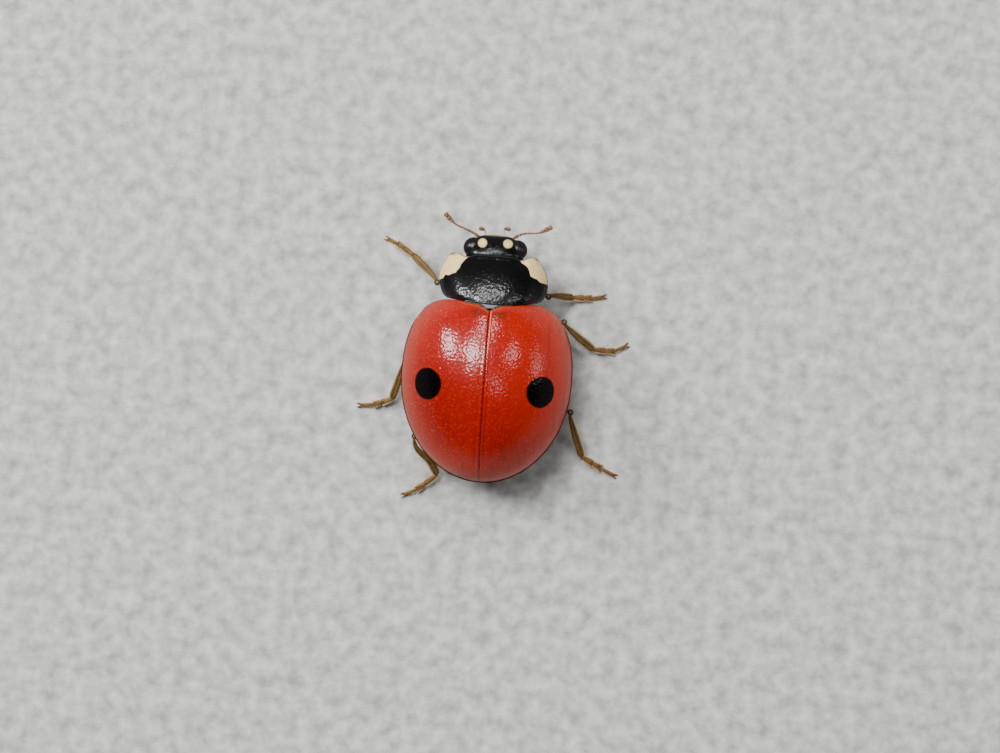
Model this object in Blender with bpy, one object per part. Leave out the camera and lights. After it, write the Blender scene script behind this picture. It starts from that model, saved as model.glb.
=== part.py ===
"""A ladybird, life size: a still model that stands on its six feet.

The script makes the solids of a beetle 6.5 mm long: the two wing cases with the
scutellum between their bases, the shield over the first body ring, the head with its
eyes, mouthparts and feelers, the body underneath, and six jointed legs.

Every length below is in millimetres and every angle in degrees. make_node() turns the
shapes into metres. The head points to -Y, the animal's left is +X and the floor is z = 0.
Where a thing has a left and a right, the left one is written and the other mirrors it.
Each leg has a pose of its own, because the animal is caught in mid step.
"""
import math

import bmesh
import bpy
import numpy as np
from mathutils import Vector

MM = 0.001

# The body's driving sizes.
WING_HALF_WIDTH = 2.20  # half the widest width over both wing cases
WING_WIDEST_Y = 0.15  # where that width lies
WING_BACK = 2.72  # from there to the tip of the wing cases
WING_FRONT = 2.45  # from there to where their sides would meet in front
WING_FRONT_POWER = 2.5  # above 2, which makes the shoulders fuller than an ellipse
SHOULDER_X, SHOULDER_Y = 1.50, -1.78  # the shoulder's corner, on the front margin
NOTCH_Y = -1.57  # front margin at the seam, behind the scutellum
NOTCH_HALF_WIDTH = 0.30
RIM_Z = 1.00  # height of the wing cases' rim over the floor
RIM_FRONT_RISE = 0.12  # the rim climbs by this much to the shoulder
DOME_Z = 3.20  # height of the dome's top
DOME_FRONT = 2.75  # half length of the dome's middle line to the front
FLANGE = 0.035  # part of the half width that flares out as a rim
DOME_FOOT = 0.008  # the dome would come down to the rim this much further out
WALL = 0.50  # thickness of a wing case
WING_ROWS, WING_COLUMNS = 22, 11  # rows from front to tip, columns from seam to rim
TIP_TRIM = 0.06  # the last row stops this angle, in radians, short of the tip
SEAM = 0.03  # gap along the seam and between neighbours

SHIELD_FRONT_Y, SHIELD_BACK_Y = -3.00, -1.735  # first body ring's shield, middle line
SHIELD_FRONT_HALF, SHIELD_HALF, SHIELD_BACK_HALF = 1.13, 1.41, 1.12
SHIELD_WIDEST = 0.55  # share of the way back at which it is widest
SHIELD_BOW = 0.10  # the rear edge curves forward by this much at its corners
SHIELD_FRONT_Z, SHIELD_BACK_Z = 1.86, 2.58  # middle line's height, front and back
SHIELD_SIDE_Z = 1.34  # height of its side edge
SHIELD_THICK, SHIELD_EDGE_THICK = 0.42, 0.20
UNDERSIDE_WIDTH, UNDERSIDE_STEP = 0.94, 0.08  # its underside is narrower, and ends before the rear edge
EYE_NOTCH_X, EYE_NOTCH_HALF, EYE_NOTCH_DEPTH = 0.70, 0.30, 0.09  # hollow of its front edge behind an eye
FIRST_RING_GAP = 0.07  # between the shield and the ring below it
FIRST_RING_SHARES = (0.31, 0.37, 0.50, 0.75, 0.93, 0.97)  # stations of the ring below it
FIRST_RING_WIDTH = 0.73  # that ring's width as a part of the shield's

SCUTELLUM_HALF, SCUTELLUM_FRONT_Y, SCUTELLUM_TIP_Y = 0.215, -1.708, -1.605
SCUTELLUM_SINK, SCUTELLUM_DEPTH, SCUTELLUM_BEVEL = 0.03, 0.34, 0.03
SCUTELLUM_MIDDLE_Y = -1.69

HEAD_CENTRE = (0.0, -3.10, 1.20)
HEAD_RADII = (0.68, 0.45, 0.46)
EYE_CENTRE = (0.595, -3.215, 1.27)
EYE_RADII = (0.225, 0.255, 0.30)

BELLY_Z = 0.86  # underside of the body at the middle line
BELLY_RISE = 0.10  # the underside climbs by this much to its edges
FIRST_RING_Z, FIRST_RING_RISE = 0.86, 0.26  # the same under the first body ring
BELLY_PLATES = (0.34, 0.88, 1.24, 1.56, 1.84, 2.08, 2.26)  # borders of the abdomen's plates
BELLY_STEP, BELLY_STEP_HALF = 0.05, 0.012  # height and half length of the step between two plates
THORAX_STATIONS = (-1.64, -1.58, -1.3, -1.0, -0.6, -0.2, 0.1)  # the last one meets the abdomen
CORE_GAP = WALL + 0.07  # the body under the wing cases is this much smaller than they are

# The mouth: middle lines with the radius at each point, written for the left side.
LIP_Z = 0.90
LIP_STATIONS = ((-3.500, 0.27, 0.10), (-3.560, 0.27, 0.10), (-3.615, 0.22, 0.07))  # y and half sizes
LIP_BOW = 0.03  # its middle stands forward by this much
JAW = (((0.34, -3.36, 0.70), 0.085), ((0.33, -3.47, 0.685), 0.095), ((0.25, -3.56, 0.685), 0.08),
       ((0.13, -3.60, 0.69), 0.05))
PALP = (((0.47, -3.30, 0.58), 0.11), ((0.46, -3.42, 0.52), 0.12), ((0.41, -3.53, 0.49), 0.13),
        ((0.35, -3.65, 0.485), 0.165), ((0.32, -3.73, 0.49), 0.14))

# The legs: joints in (x, y), with the knee's height over the floor.
FEMUR_R, TIBIA_R, FOOT_R = 0.265, 0.235, 0.225
HIP_Z = 0.585  # the middle of the hip joint
ANKLE_Z = 0.255
LEG_SIDES = 10
LEGS = {
    "front_left": dict(hip=(0.14, -2.42), ring=(0.47, -2.44), knee=(1.456, -2.226), knee_z=0.76,
                       ankle=(2.137, -2.898), foot=(2.587, -3.18), toe=(2.925, -3.31)),
    "front_right": dict(hip=(-0.14, -2.42), ring=(-0.47, -2.40), knee=(-1.445, -2.052), knee_z=0.82,
                        ankle=(-2.064, -2.085), foot=(-2.554, -2.10), toe=(-2.97, -2.18)),
    "middle_left": dict(hip=(0.34, -0.88), ring=(0.80, -0.84), knee=(2.19, -0.20), knee_z=0.66,
                        ankle=(2.433, 0.869), foot=(2.909, 1.048), toe=(3.39, 1.10)),
    "middle_right": dict(hip=(-0.34, -0.88), ring=(-0.80, -0.92), knee=(-1.892, -1.425), knee_z=0.66,
                         ankle=(-2.683, -0.77), foot=(-3.246, -0.765), toe=(-3.64, -0.985)),
    "rear_left": dict(hip=(0.36, 0.30), ring=(0.95, 0.40), knee=(1.77, 1.79), knee_z=0.64,
                      ankle=(1.126, 2.746), foot=(1.627, 3.13), toe=(2.04, 3.33)),
    "rear_right": dict(hip=(-0.36, 0.30), ring=(-0.95, 0.33), knee=(-2.217, 0.894), knee_z=0.66,
                       ankle=(-2.578, 2.021), foot=(-3.10, 2.29), toe=(-3.60, 2.52)),
}

# The feelers' middle lines, from the head to the tip, with the radius at each point.
ANTENNAE = {
    "left": [((0.50, -3.62, 1.03), 0.15), ((0.71, -3.68, 1.05), 0.20), ((1.02, -3.77, 1.09), 0.20),
             ((1.19, -3.86, 1.13), 0.235), ((1.30, -3.92, 1.15), 0.22)],
    "right": [((-0.50, -3.62, 1.03), 0.15), ((-0.72, -3.655, 1.05), 0.20), ((-1.04, -3.67, 1.09), 0.20),
              ((-1.22, -3.72, 1.13), 0.235), ((-1.35, -3.78, 1.15), 0.22)],
}

# The whole animal is moved by this, so that its box stands centred on the origin.
CENTRING = (0.1521, 0.3178)


# ---------------------------------------------------------------- making things

def clear_scene():
    for ob in list(bpy.data.objects):
        bpy.data.objects.remove(ob, do_unlink=True)


def make_material(name, colour, roughness, metallic=0.0):
    material = bpy.data.materials.new(name)
    material.use_nodes = True
    shader = material.node_tree.nodes["Principled BSDF"]
    shader.inputs["Base Color"].default_value = (*colour, 1.0)
    shader.inputs["Roughness"].default_value = roughness
    shader.inputs["Metallic"].default_value = metallic
    return material


def make_node(name, vertices, faces, material, parent):
    """One closed body from points in millimetres and faces, shaded smooth."""
    mesh = bpy.data.meshes.new(name)
    mesh.from_pydata([tuple(c * MM for c in v) for v in vertices], [], faces)
    bm = bmesh.new()
    bm.from_mesh(mesh)
    bmesh.ops.recalc_face_normals(bm, faces=bm.faces)
    bm.to_mesh(mesh)
    bm.free()
    mesh.shade_smooth()
    mesh.set_sharp_from_angle(angle=math.radians(40))
    mesh.materials.append(material)
    ob = bpy.data.objects.new(name, mesh)
    bpy.context.collection.objects.link(ob)
    ob.parent = parent
    return ob


def loft(rings):
    """A skin through closed rings of equally many points, with a flat fan at each end."""
    rings = [np.asarray(ring, float) for ring in rings]
    count = len(rings[0])
    vertices = [tuple(p) for ring in rings for p in ring]
    faces = []
    for k in range(len(rings) - 1):
        for i in range(count):
            j = (i + 1) % count
            faces.append((k * count + i, k * count + j, (k + 1) * count + j, (k + 1) * count + i))
    for start, ring in ((0, rings[0]), ((len(rings) - 1) * count, rings[-1])):
        middle = len(vertices)
        vertices.append(tuple(ring.mean(0)))
        faces += [(start + i, start + (i + 1) % count, middle) for i in range(count)]
    return vertices, faces


def plate(top, under):
    """A closed plate between two grids of points of the same size, the upper and the lower."""
    top, under = np.asarray(top, float), np.asarray(under, float)
    rows, columns = top.shape[:2]
    vertices = [tuple(p) for grid in (top, under) for row in grid for p in row]
    low = rows * columns

    def at(row, column, base=0):
        return base + row * columns + column

    faces = []
    for r in range(rows - 1):
        for c in range(columns - 1):
            faces.append((at(r, c), at(r, c + 1), at(r + 1, c + 1), at(r + 1, c)))
            faces.append((at(r, c, low), at(r + 1, c, low), at(r + 1, c + 1, low), at(r, c + 1, low)))
    edge = [(0, c) for c in range(columns)]
    edge += [(r, columns - 1) for r in range(1, rows)]
    edge += [(rows - 1, c) for c in range(columns - 2, -1, -1)]
    edge += [(r, 0) for r in range(rows - 2, 0, -1)]
    for k in range(len(edge)):
        a, b = edge[k], edge[(k + 1) % len(edge)]
        faces.append((at(*a), at(*a, low), at(*b, low), at(*b)))
    return vertices, faces


def ball(centre, radii, segments=16, rings=9, shape=None):
    """An ellipsoid with its poles at left and right; shape(x, y, z) may move its points."""
    rows = []
    for k in range(1, rings):
        polar = math.pi * k / rings
        row = []
        for i in range(segments):
            turn = 2 * math.pi * i / segments
            unit = (math.cos(polar), math.sin(polar) * math.cos(turn), math.sin(polar) * math.sin(turn))
            row.append(shape(*unit) if shape else unit)
        rows.append(row)
    vertices, faces = loft(rows)
    poles = [shape(1, 0, 0) if shape else (1, 0, 0), shape(-1, 0, 0) if shape else (-1, 0, 0)]
    vertices[-2:] = poles
    return [tuple(c + r * v for c, r, v in zip(centre, radii, p)) for p in vertices], faces


def mirrored(vertices, side):
    return [(side * x, y, z) for x, y, z in vertices]


# ---------------------------------------------------------------- the dome's shape

def wing_half_width(y, inset=0.0):
    """Half the width over both wing cases at y, or of a form smaller all round by inset."""
    if y >= WING_WIDEST_Y:
        share, power = (y - WING_WIDEST_Y) / (WING_BACK - inset), 2.0
    else:
        share, power = (WING_WIDEST_Y - y) / (WING_FRONT - inset), WING_FRONT_POWER
    return (WING_HALF_WIDTH - inset) * max(0.0, 1 - min(share, 1.0) ** power) ** (1 / power)


def rim_height(y):
    share = max(0.0, (WING_WIDEST_Y - y) / (WING_WIDEST_Y - SHOULDER_Y))
    return RIM_Z + RIM_FRONT_RISE * share ** 2


def ridge_height(y, inset=0.0):
    """Height of the dome's middle line at y."""
    reach = (WING_BACK if y >= WING_WIDEST_Y else DOME_FRONT) - inset
    share = min(1.0, abs(y - WING_WIDEST_Y) / reach)
    return rim_height(y) + (DOME_Z - inset - rim_height(y)) * math.sqrt(1 - share ** 2)


def dome_height(x, y, inset=0.0):
    """Height of the wing cases' surface, or of the same dome made smaller all round by inset."""
    half = max(wing_half_width(y, inset), 1e-6)
    across = min(1.0, abs(x) / half)
    foot = 1 - FLANGE
    if across < foot:
        level = math.sqrt(1 - (across / (foot + DOME_FOOT)) ** 2)
    else:
        level = math.sqrt(1 - (foot / (foot + DOME_FOOT)) ** 2) * (1 - across) / FLANGE
    return rim_height(y) + (ridge_height(y, inset) - rim_height(y)) * level


def front_margin(x):
    """The wing cases' front edge: straight along the shield, with a notch for the scutellum."""
    share = min(1.0, abs(x) / NOTCH_HALF_WIDTH)
    beside_notch = SHOULDER_Y + 0.09
    if share < 1:
        return NOTCH_Y + (beside_notch - NOTCH_Y) * share
    out = (abs(x) - NOTCH_HALF_WIDTH) / (SHOULDER_X - NOTCH_HALF_WIDTH)
    return beside_notch + (SHOULDER_Y - beside_notch) * min(1.0, out)


# ---------------------------------------------------------------- body plates

def wing_case(side):
    """One wing case: rows fan from the front edge round to the rear tip, columns run seam to rim."""
    shoulder_turn = math.acos((WING_WIDEST_Y - SHOULDER_Y) / WING_FRONT)
    tip_y = WING_WIDEST_Y + WING_BACK - SEAM
    outer = []
    for r in range(WING_ROWS + 1):
        share = r / WING_ROWS
        if r == 0:
            rim = (SHOULDER_X, SHOULDER_Y)
        else:
            turn = shoulder_turn + (math.pi - shoulder_turn - TIP_TRIM) * share
            reach = WING_FRONT if turn < math.pi / 2 else WING_BACK
            rim_y = WING_WIDEST_Y - reach * math.cos(turn)
            rim = (wing_half_width(rim_y), rim_y)
        seam_y = NOTCH_Y + (tip_y - NOTCH_Y) * math.sin(math.pi / 2 * share) ** 0.9
        row = []
        for c in range(WING_COLUMNS + 1):
            if c == WING_COLUMNS:
                across = 1.0
            elif c == WING_COLUMNS - 1:
                across = 1 - FLANGE
            else:
                across = (1 - 1.6 * FLANGE) * math.sin(math.pi / 2 * c / (WING_COLUMNS - 1))
            x = across * rim[0]
            y = seam_y + (rim[1] - seam_y) * across
            if r == 0:
                y = front_margin(x)
            row.append((x, y))
        outer.append(row)

    def lifted(x, y):
        return Vector((x, y, dome_height(min(x, wing_half_width(y)), y)))

    def inner(point):
        """The inner wall's point: the same dome, smaller by the wall's thickness."""
        reach = WING_BACK if point.y >= WING_WIDEST_Y else WING_FRONT
        rim = rim_height(point.y)
        return Vector((
            point.x * (1 - WALL / WING_HALF_WIDTH),
            WING_WIDEST_Y + (point.y - WING_WIDEST_Y) * (1 - WALL / reach),
            rim + (point.z - rim) * (1 - WALL / (DOME_Z - rim)),
        ))

    top = [[lifted(x, y) for x, y in row] for row in outer]
    under = [[inner(point) for point in row] for row in top]
    for grid in (top, under):
        for row in grid:
            row[0].x = 0.0
            for point in row:
                point.x = max(point.x, 0.0) + SEAM / 2
    vertices, faces = plate(top, under)
    return mirrored(vertices, side), faces


def shield_half_width(share):
    """Half width of the shield, from its front edge (share 0) to its rear edge (share 1)."""
    if share <= SHIELD_WIDEST:
        return SHIELD_FRONT_HALF + (SHIELD_HALF - SHIELD_FRONT_HALF) * math.sin(
            math.pi / 2 * share / SHIELD_WIDEST)
    past = (share - SHIELD_WIDEST) / (1 - SHIELD_WIDEST)
    return SHIELD_BACK_HALF + (SHIELD_HALF - SHIELD_BACK_HALF) * math.sqrt(1 - past ** 2)


def shield_point(share, across, depth=0.0):
    """A point of the shield's surface, or of the same form sunk by depth."""
    x = shield_half_width(share) * across
    y = SHIELD_FRONT_Y + (SHIELD_BACK_Y - SHIELD_FRONT_Y) * share
    y -= SHIELD_BOW * across ** 2 * share
    off_notch = min(1.0, abs(abs(x) - EYE_NOTCH_X) / EYE_NOTCH_HALF)
    y += EYE_NOTCH_DEPTH * (1 - off_notch ** 2) ** 2 * max(0.0, 1 - share / 0.3) ** 2
    middle = SHIELD_FRONT_Z + (SHIELD_BACK_Z - SHIELD_FRONT_Z) * (1 - (1 - share) ** 2)
    lift = (1 - abs(across) ** 2.2) ** (1 / 1.7)
    z = SHIELD_SIDE_Z + (middle - SHIELD_SIDE_Z) * lift
    return x, y, z - depth


def shield():
    rows, columns = 10, 18
    top, under = [], []
    for r in range(rows + 1):
        share = math.sin(math.pi / 2 * r / rows)
        spread = [math.sin(math.pi / 2 * (2 * c / columns - 1)) for c in range(columns + 1)]
        top.append([shield_point(share, a) for a in spread])
        body = (SHIELD_THICK - SHIELD_EDGE_THICK) * min(1.0, 2 * share)
        thick = [SHIELD_EDGE_THICK + body * (1 - a ** 4) for a in spread]
        row = [shield_point(share, a, depth) for a, depth in zip(spread, thick)]
        under.append([(x * UNDERSIDE_WIDTH, y - UNDERSIDE_STEP * share ** 4, z) for x, y, z in row])
    return plate(top, under)


def ring_section(y, half, top_at, low_at, sides=12):
    """A closed cross-section of the body at y: up over the back and home along the belly."""
    over = [math.cos(math.pi * k / sides) for k in range(sides + 1)]
    ring = [(half * a, y, top_at(half * a)) for a in over]
    ring += [(half * a, y, low_at(a)) for a in reversed(over[1:-1])]
    return ring


def belly(across, step=0.0):
    """Height of the body's underside at a share of its half width."""
    return BELLY_Z + BELLY_RISE * across ** 2 - step


def first_ring():
    """The ring under the shield, which carries the front legs."""
    rings = []
    for share in FIRST_RING_SHARES:
        round_end = 0.90 if share in (FIRST_RING_SHARES[0], FIRST_RING_SHARES[-1]) else 1.0
        half = shield_half_width(share) * FIRST_RING_WIDTH * round_end
        y = shield_point(share, 0)[1]

        def top_at(x, share=share, half=half, round_end=round_end):
            roof = shield_point(share, x / shield_half_width(share), SHIELD_THICK + FIRST_RING_GAP)[2]
            low = FIRST_RING_Z + FIRST_RING_RISE * (x / half) ** 2
            return low + (roof - low) * round_end * (1 - 0.3 * abs(x / half) ** 3)

        rings.append(ring_section(y, half, top_at, lambda a: FIRST_RING_Z + FIRST_RING_RISE * a ** 2))
    return loft(rings)


def trunk(stations, step_at=None):
    """The body under the wing cases over a run of stations, with a roof that follows the dome."""
    rings = []
    for y in stations:
        half = wing_half_width(y, CORE_GAP)
        step = step_at(y) if step_at else 0.0

        def top_at(x, y=y, step=step):
            roof = dome_height(x, y, CORE_GAP)
            return max(roof, belly(1.0, step) + 0.02)

        rings.append(ring_section(y, half, top_at, lambda a, step=step: belly(a, step)))
    return loft(rings)


def abdomen():
    """Six belly plates, each with its hind edge standing a little proud of the next one."""
    stations = [BELLY_PLATES[0]]
    for border in BELLY_PLATES[1:-1]:
        stations += [border - BELLY_STEP_HALF, border + BELLY_STEP_HALF]
    stations.append(BELLY_PLATES[-1])

    def step_at(y):
        for start, end in zip(BELLY_PLATES, BELLY_PLATES[1:]):
            if start <= y < end:
                return BELLY_STEP * (y - start) / (end - start)
        return BELLY_STEP

    return trunk(stations, step_at)


def scutellum():
    """The small triangle where the shield and the wing cases meet."""
    outline = [(-SCUTELLUM_HALF, SCUTELLUM_FRONT_Y), (0.0, SCUTELLUM_FRONT_Y + 0.008),
               (SCUTELLUM_HALF, SCUTELLUM_FRONT_Y), (0.0, SCUTELLUM_TIP_Y)]
    rings = []
    for drop, shrink in ((SCUTELLUM_DEPTH, 1.0), (SCUTELLUM_BEVEL, 1.0), (0.0, 0.80)):
        ring = []
        for x, y in outline:
            y_in = SCUTELLUM_MIDDLE_Y + (y - SCUTELLUM_MIDDLE_Y) * shrink
            ring.append((x * shrink, y_in, ridge_height(y) - SCUTELLUM_SINK - drop))
        rings.append(ring)
    return loft(rings)


# ---------------------------------------------------------------- the head

def head_form(x, y, z):
    """A ball made into a head: a broad crown, a flat brow and a muzzle that narrows downwards."""
    taper = 1.0 - 0.30 * max(0.0, -z) - 0.10 * max(0.0, z) ** 2
    squared = math.copysign(abs(x) ** 0.75, x)
    lean = -0.12 * max(0.0, -z)
    return squared * taper, y + (lean if y < 0 else 0), z


def labrum():
    """The upper lip: a small rounded plate below the brow."""
    rings = []
    for y, half, high in LIP_STATIONS:
        ring = []
        for k in range(12):
            turn = 2 * math.pi * k / 12
            ring.append((half * math.cos(turn), y - LIP_BOW * math.sin(turn), LIP_Z + high * math.sin(turn)))
        rings.append(ring)
    return loft(rings)


def mandible(side):
    """One jaw: a short hook that curves to the middle under the lip."""
    vertices, faces = tube(JAW, 8)
    return mirrored(vertices, side), faces


def palp(side):
    """A mouth feeler with a hatchet-shaped last joint, bent forward and down."""
    vertices, faces = tube(PALP, 10)
    return mirrored(vertices, side), faces


# ---------------------------------------------------------------- limbs

def across_of(direction):
    """Two unit vectors square to a direction: a level one and one that points up."""
    side = direction.cross(Vector((0, 0, 1))).normalized()
    return side, side.cross(direction).normalized()


def tube(stations, sides):
    """A round tube through stations, each a point and a radius, blunt at both ends."""
    points = [Vector(point) for point, _ in stations]
    radii = [radius for _, radius in stations]
    rings = []
    for k, (point, radius) in enumerate(zip(points, radii)):
        before, after = points[max(k - 1, 0)], points[min(k + 1, len(points) - 1)]
        side, up = across_of((after - before).normalized())
        ring = []
        for i in range(sides):
            turn = 2 * math.pi * i / sides
            ring.append(point + side * radius * math.cos(turn) + up * radius * math.sin(turn))
        rings.append(ring)
    first, last = (points[1] - points[0]).normalized(), (points[-1] - points[-2]).normalized()
    for ring, point, out, radius in ((rings[0], points[0], -first, radii[0]),
                                     (rings[-1], points[-1], last, radii[-1])):
        cap = [point + (p - point) * 0.62 + out * radius * 0.45 for p in ring]
        if ring is rings[0]:
            rings.insert(0, cap)
        else:
            rings.append(cap)
    return loft(rings)


def slide_onto(ring, along, plane_point, plane_normal, strength):
    """Moves a ring's points along a limb, by strength of the way, on to a joint's plane."""
    moved = []
    for point in ring:
        way = (plane_point - point).dot(plane_normal) / along.dot(plane_normal)
        moved.append(point + along * way * strength)
    return moved


def limb(start, end, profile, joint_in, joint_out):
    """One limb segment between two joint planes; profile holds (share of length, radius)."""
    start, end = Vector(start), Vector(end)
    along = (end - start).normalized()
    length = (end - start).length
    side, up = across_of(along)
    blend = 0.42 * length
    rings = []
    for share, radius in profile:
        centre = start + (end - start) * share
        ring = []
        for i in range(LEG_SIDES):
            turn = 2 * math.pi * (i + 0.5) / LEG_SIDES
            ring.append(centre + side * radius * math.cos(turn) + up * radius * math.sin(turn))
        for joint, far in ((joint_in, share * length), (joint_out, (1 - share) * length)):
            strength = max(0.0, 1 - far / blend)
            if strength > 0:
                full = slide_onto(ring, along, joint[0], joint[1], 1.0)
                base = centre + along * (joint[0] - centre).dot(joint[1]) / along.dot(joint[1])
                shift = base - centre
                ring = [p + (f - p - shift) * strength for p, f in zip(ring, full)]
        rings.append(ring)
    return loft(rings)


def joint_plane(point, before, after):
    """The plane that halves a joint's angle, as a point and the direction that runs through it."""
    through = ((point - before).normalized() + (after - point).normalized()).normalized()
    return point, through


def cut_back(plane, sign):
    return plane[0] + plane[1] * sign * SEAM / 2, plane[1]


def foot(ankle, foot_point, toe, ankle_plane):
    """The tarsus: three lobes that lie flat on the floor, then the claw joint with its fork."""
    lobes = [(0.00, 0.17), (0.10, 0.20), (0.27, 0.24), (0.32, 0.20), (0.48, 0.25), (0.58, 0.24),
             (0.66, 0.17), (0.84, 0.17), (0.95, 0.19), (1.00, 0.14)]
    first = (foot_point - ankle).length
    total = first + (toe - foot_point).length
    rings = []
    for share, radius in lobes:
        walked = share * total
        if walked <= first:
            centre = ankle + (foot_point - ankle) * walked / first
        else:
            centre = foot_point + (toe - foot_point) * (walked - first) / (total - first)
        turn_share = min(1.0, max(0.0, (walked - 0.6 * first) / (0.8 * first)))
        along = (foot_point - ankle).normalized().lerp((toe - foot_point).normalized(), turn_share)
        along = along.normalized()
        side, up = across_of(along)
        height = FOOT_R * (1.0 - 0.12 * share)
        ring = []
        for i in range(LEG_SIDES):
            angle = 2 * math.pi * (i + 0.5) / LEG_SIDES
            point = centre + side * radius * math.cos(angle)
            point.z = height + height * math.sin(angle)
            if math.sin(angle) < -0.5:
                point.z = 0.0
            ring.append(point)
        strength = max(0.0, 1 - walked / (0.45 * total))
        if strength > 0:
            full = slide_onto(ring, along, ankle_plane[0], ankle_plane[1], 1.0)
            base = centre + along * (ankle_plane[0] - centre).dot(ankle_plane[1]) / along.dot(
                ankle_plane[1])
            ring = [p + (f - p - (base - centre)) * strength for p, f in zip(ring, full)]
            for point in ring:
                point.z = max(point.z, 0.0)
        rings.append(ring)
    return loft(rings)


def leg(name, pose, shell, parent):
    """A leg of four pieces, parted by a thin cut at each joint."""
    hip = Vector((*pose["hip"], HIP_Z))
    ring = Vector((*pose["ring"], HIP_Z))
    knee = Vector((*pose["knee"], pose["knee_z"]))
    ankle = Vector((*pose["ankle"], ANKLE_Z))
    foot_point = Vector((*pose["foot"], ANKLE_Z))
    toe = Vector((*pose["toe"], ANKLE_Z))
    at_hip = (hip, (ring - hip).normalized())
    at_ring = joint_plane(ring, hip, knee)
    at_knee = joint_plane(knee, ring, ankle)
    at_ankle = joint_plane(ankle, knee, foot_point)
    coxa_profile = [(0.0, 0.17), (0.14, 0.22), (0.5, 0.24), (0.86, 0.225), (1.0, 0.18)]
    femur_profile = [(0.0, 0.18), (0.08, 0.215), (0.25, 0.25), (0.5, FEMUR_R), (0.75, 0.25), (0.92, 0.22),
                     (1.0, 0.18)]
    tibia_profile = [(0.0, 0.17), (0.09, 0.205), (0.35, 0.215), (0.65, 0.225), (0.91, TIBIA_R),
                     (1.0, 0.19)]
    pieces = {
        "coxa": limb(hip, ring, coxa_profile, at_hip, cut_back(at_ring, -1)),
        "femur": limb(ring, knee, femur_profile, cut_back(at_ring, 1), cut_back(at_knee, -1)),
        "tibia": limb(knee, ankle, tibia_profile, cut_back(at_knee, 1), cut_back(at_ankle, -1)),
        "tarsus": foot(ankle, foot_point, toe, cut_back(at_ankle, 1)),
    }
    for piece, shape in pieces.items():
        make_node(f"{piece}_{name}", *shape, shell, parent)


# ---------------------------------------------------------------- putting it together

def carve(ob, cutter_name, shape):
    """Cuts a socket: the cutter stays in the file as a hidden wire shape."""
    cutter = make_node(cutter_name, *shape, ob.data.materials[0], ob.parent)
    cutter.hide_render = True
    cutter.display_type = "WIRE"
    cut = ob.modifiers.new("socket", "BOOLEAN")
    cut.operation = "DIFFERENCE"
    cut.solver = "EXACT"
    cut.object = cutter


def build():
    clear_scene()
    red = make_material("wing_case_red", (0.60, 0.035, 0.010), 0.25)
    black = make_material("shell_black", (0.012, 0.012, 0.014), 0.22)
    belly_black = make_material("belly_black", (0.020, 0.018, 0.017), 0.40)
    eye_black = make_material("eye_black", (0.010, 0.010, 0.012), 0.15)
    leg_brown = make_material("leg_brown", (0.26, 0.13, 0.045), 0.40)
    feeler_brown = make_material("feeler_brown", (0.45, 0.17, 0.06), 0.40)

    root = bpy.data.objects.new("ladybird", None)
    root.location = (CENTRING[0] * MM, CENTRING[1] * MM, 0.0)
    bpy.context.collection.objects.link(root)

    for side, word in ((1, "left"), (-1, "right")):
        make_node(f"elytron_{word}", *wing_case(side), red, root)
    make_node("scutellum", *scutellum(), black, root)
    make_node("pronotum", *shield(), black, root)
    make_node("prothorax", *first_ring(), belly_black, root)
    make_node("thorax", *trunk((*THORAX_STATIONS, BELLY_PLATES[0] - SEAM)), belly_black, root)
    make_node("abdomen", *abdomen(), belly_black, root)

    head = make_node("head", *ball(HEAD_CENTRE, HEAD_RADII, 20, 14, head_form), black, root)
    for side, word in ((1, "left"), (-1, "right")):
        centre = (side * EYE_CENTRE[0], *EYE_CENTRE[1:])
        make_node(f"eye_{word}", *ball(centre, EYE_RADII, 14, 8), eye_black, root)
        socket = tuple(r + SEAM for r in EYE_RADII)
        carve(head, f"socket_{word}", ball(centre, socket, 14, 8))
        make_node(f"mandible_{word}", *mandible(side), leg_brown, root)
        make_node(f"palp_{word}", *palp(side), feeler_brown, root)
    make_node("labrum", *labrum(), leg_brown, root)
    for word, stations in ANTENNAE.items():
        make_node(f"antenna_{word}", *tube(stations, 10), feeler_brown, root)

    for name, pose in LEGS.items():
        leg(name, pose, leg_brown, root)


build()
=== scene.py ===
# %% [markdown]
# # A ladybird, life size
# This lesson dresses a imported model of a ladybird: red wing cases with one round black spot each,
# a black shield with cream corners, a small head, and six brown legs caught in mid step.
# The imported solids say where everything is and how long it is. They are thick in the legs and
# feelers, because a model has to be strong. Here each solid gets the surface of the real animal.
#
# An insect is a set of shell plates with thin skin between them. So every plate stays a piece of
# its own, and no single skin is drawn over the whole.

# %% load the frame
import math
import random

import bmesh
import bpy
from mathutils import Matrix, Vector
from mathutils.kdtree import KDTree


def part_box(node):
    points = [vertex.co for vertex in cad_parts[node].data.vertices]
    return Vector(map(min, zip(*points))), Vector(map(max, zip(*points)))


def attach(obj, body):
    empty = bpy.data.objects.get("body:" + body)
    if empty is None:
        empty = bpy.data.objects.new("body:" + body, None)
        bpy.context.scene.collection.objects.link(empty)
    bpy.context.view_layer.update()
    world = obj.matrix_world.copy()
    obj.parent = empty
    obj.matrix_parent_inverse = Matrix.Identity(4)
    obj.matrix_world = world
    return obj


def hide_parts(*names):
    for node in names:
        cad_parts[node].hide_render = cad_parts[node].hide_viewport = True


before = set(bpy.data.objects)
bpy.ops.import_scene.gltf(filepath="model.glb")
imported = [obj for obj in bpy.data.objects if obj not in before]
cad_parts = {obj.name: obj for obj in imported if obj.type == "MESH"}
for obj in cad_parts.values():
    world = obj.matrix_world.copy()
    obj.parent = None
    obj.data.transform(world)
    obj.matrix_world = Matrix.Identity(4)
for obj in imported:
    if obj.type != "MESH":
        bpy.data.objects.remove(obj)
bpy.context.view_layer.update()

print("nodes in the frame:", len(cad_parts))

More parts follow.
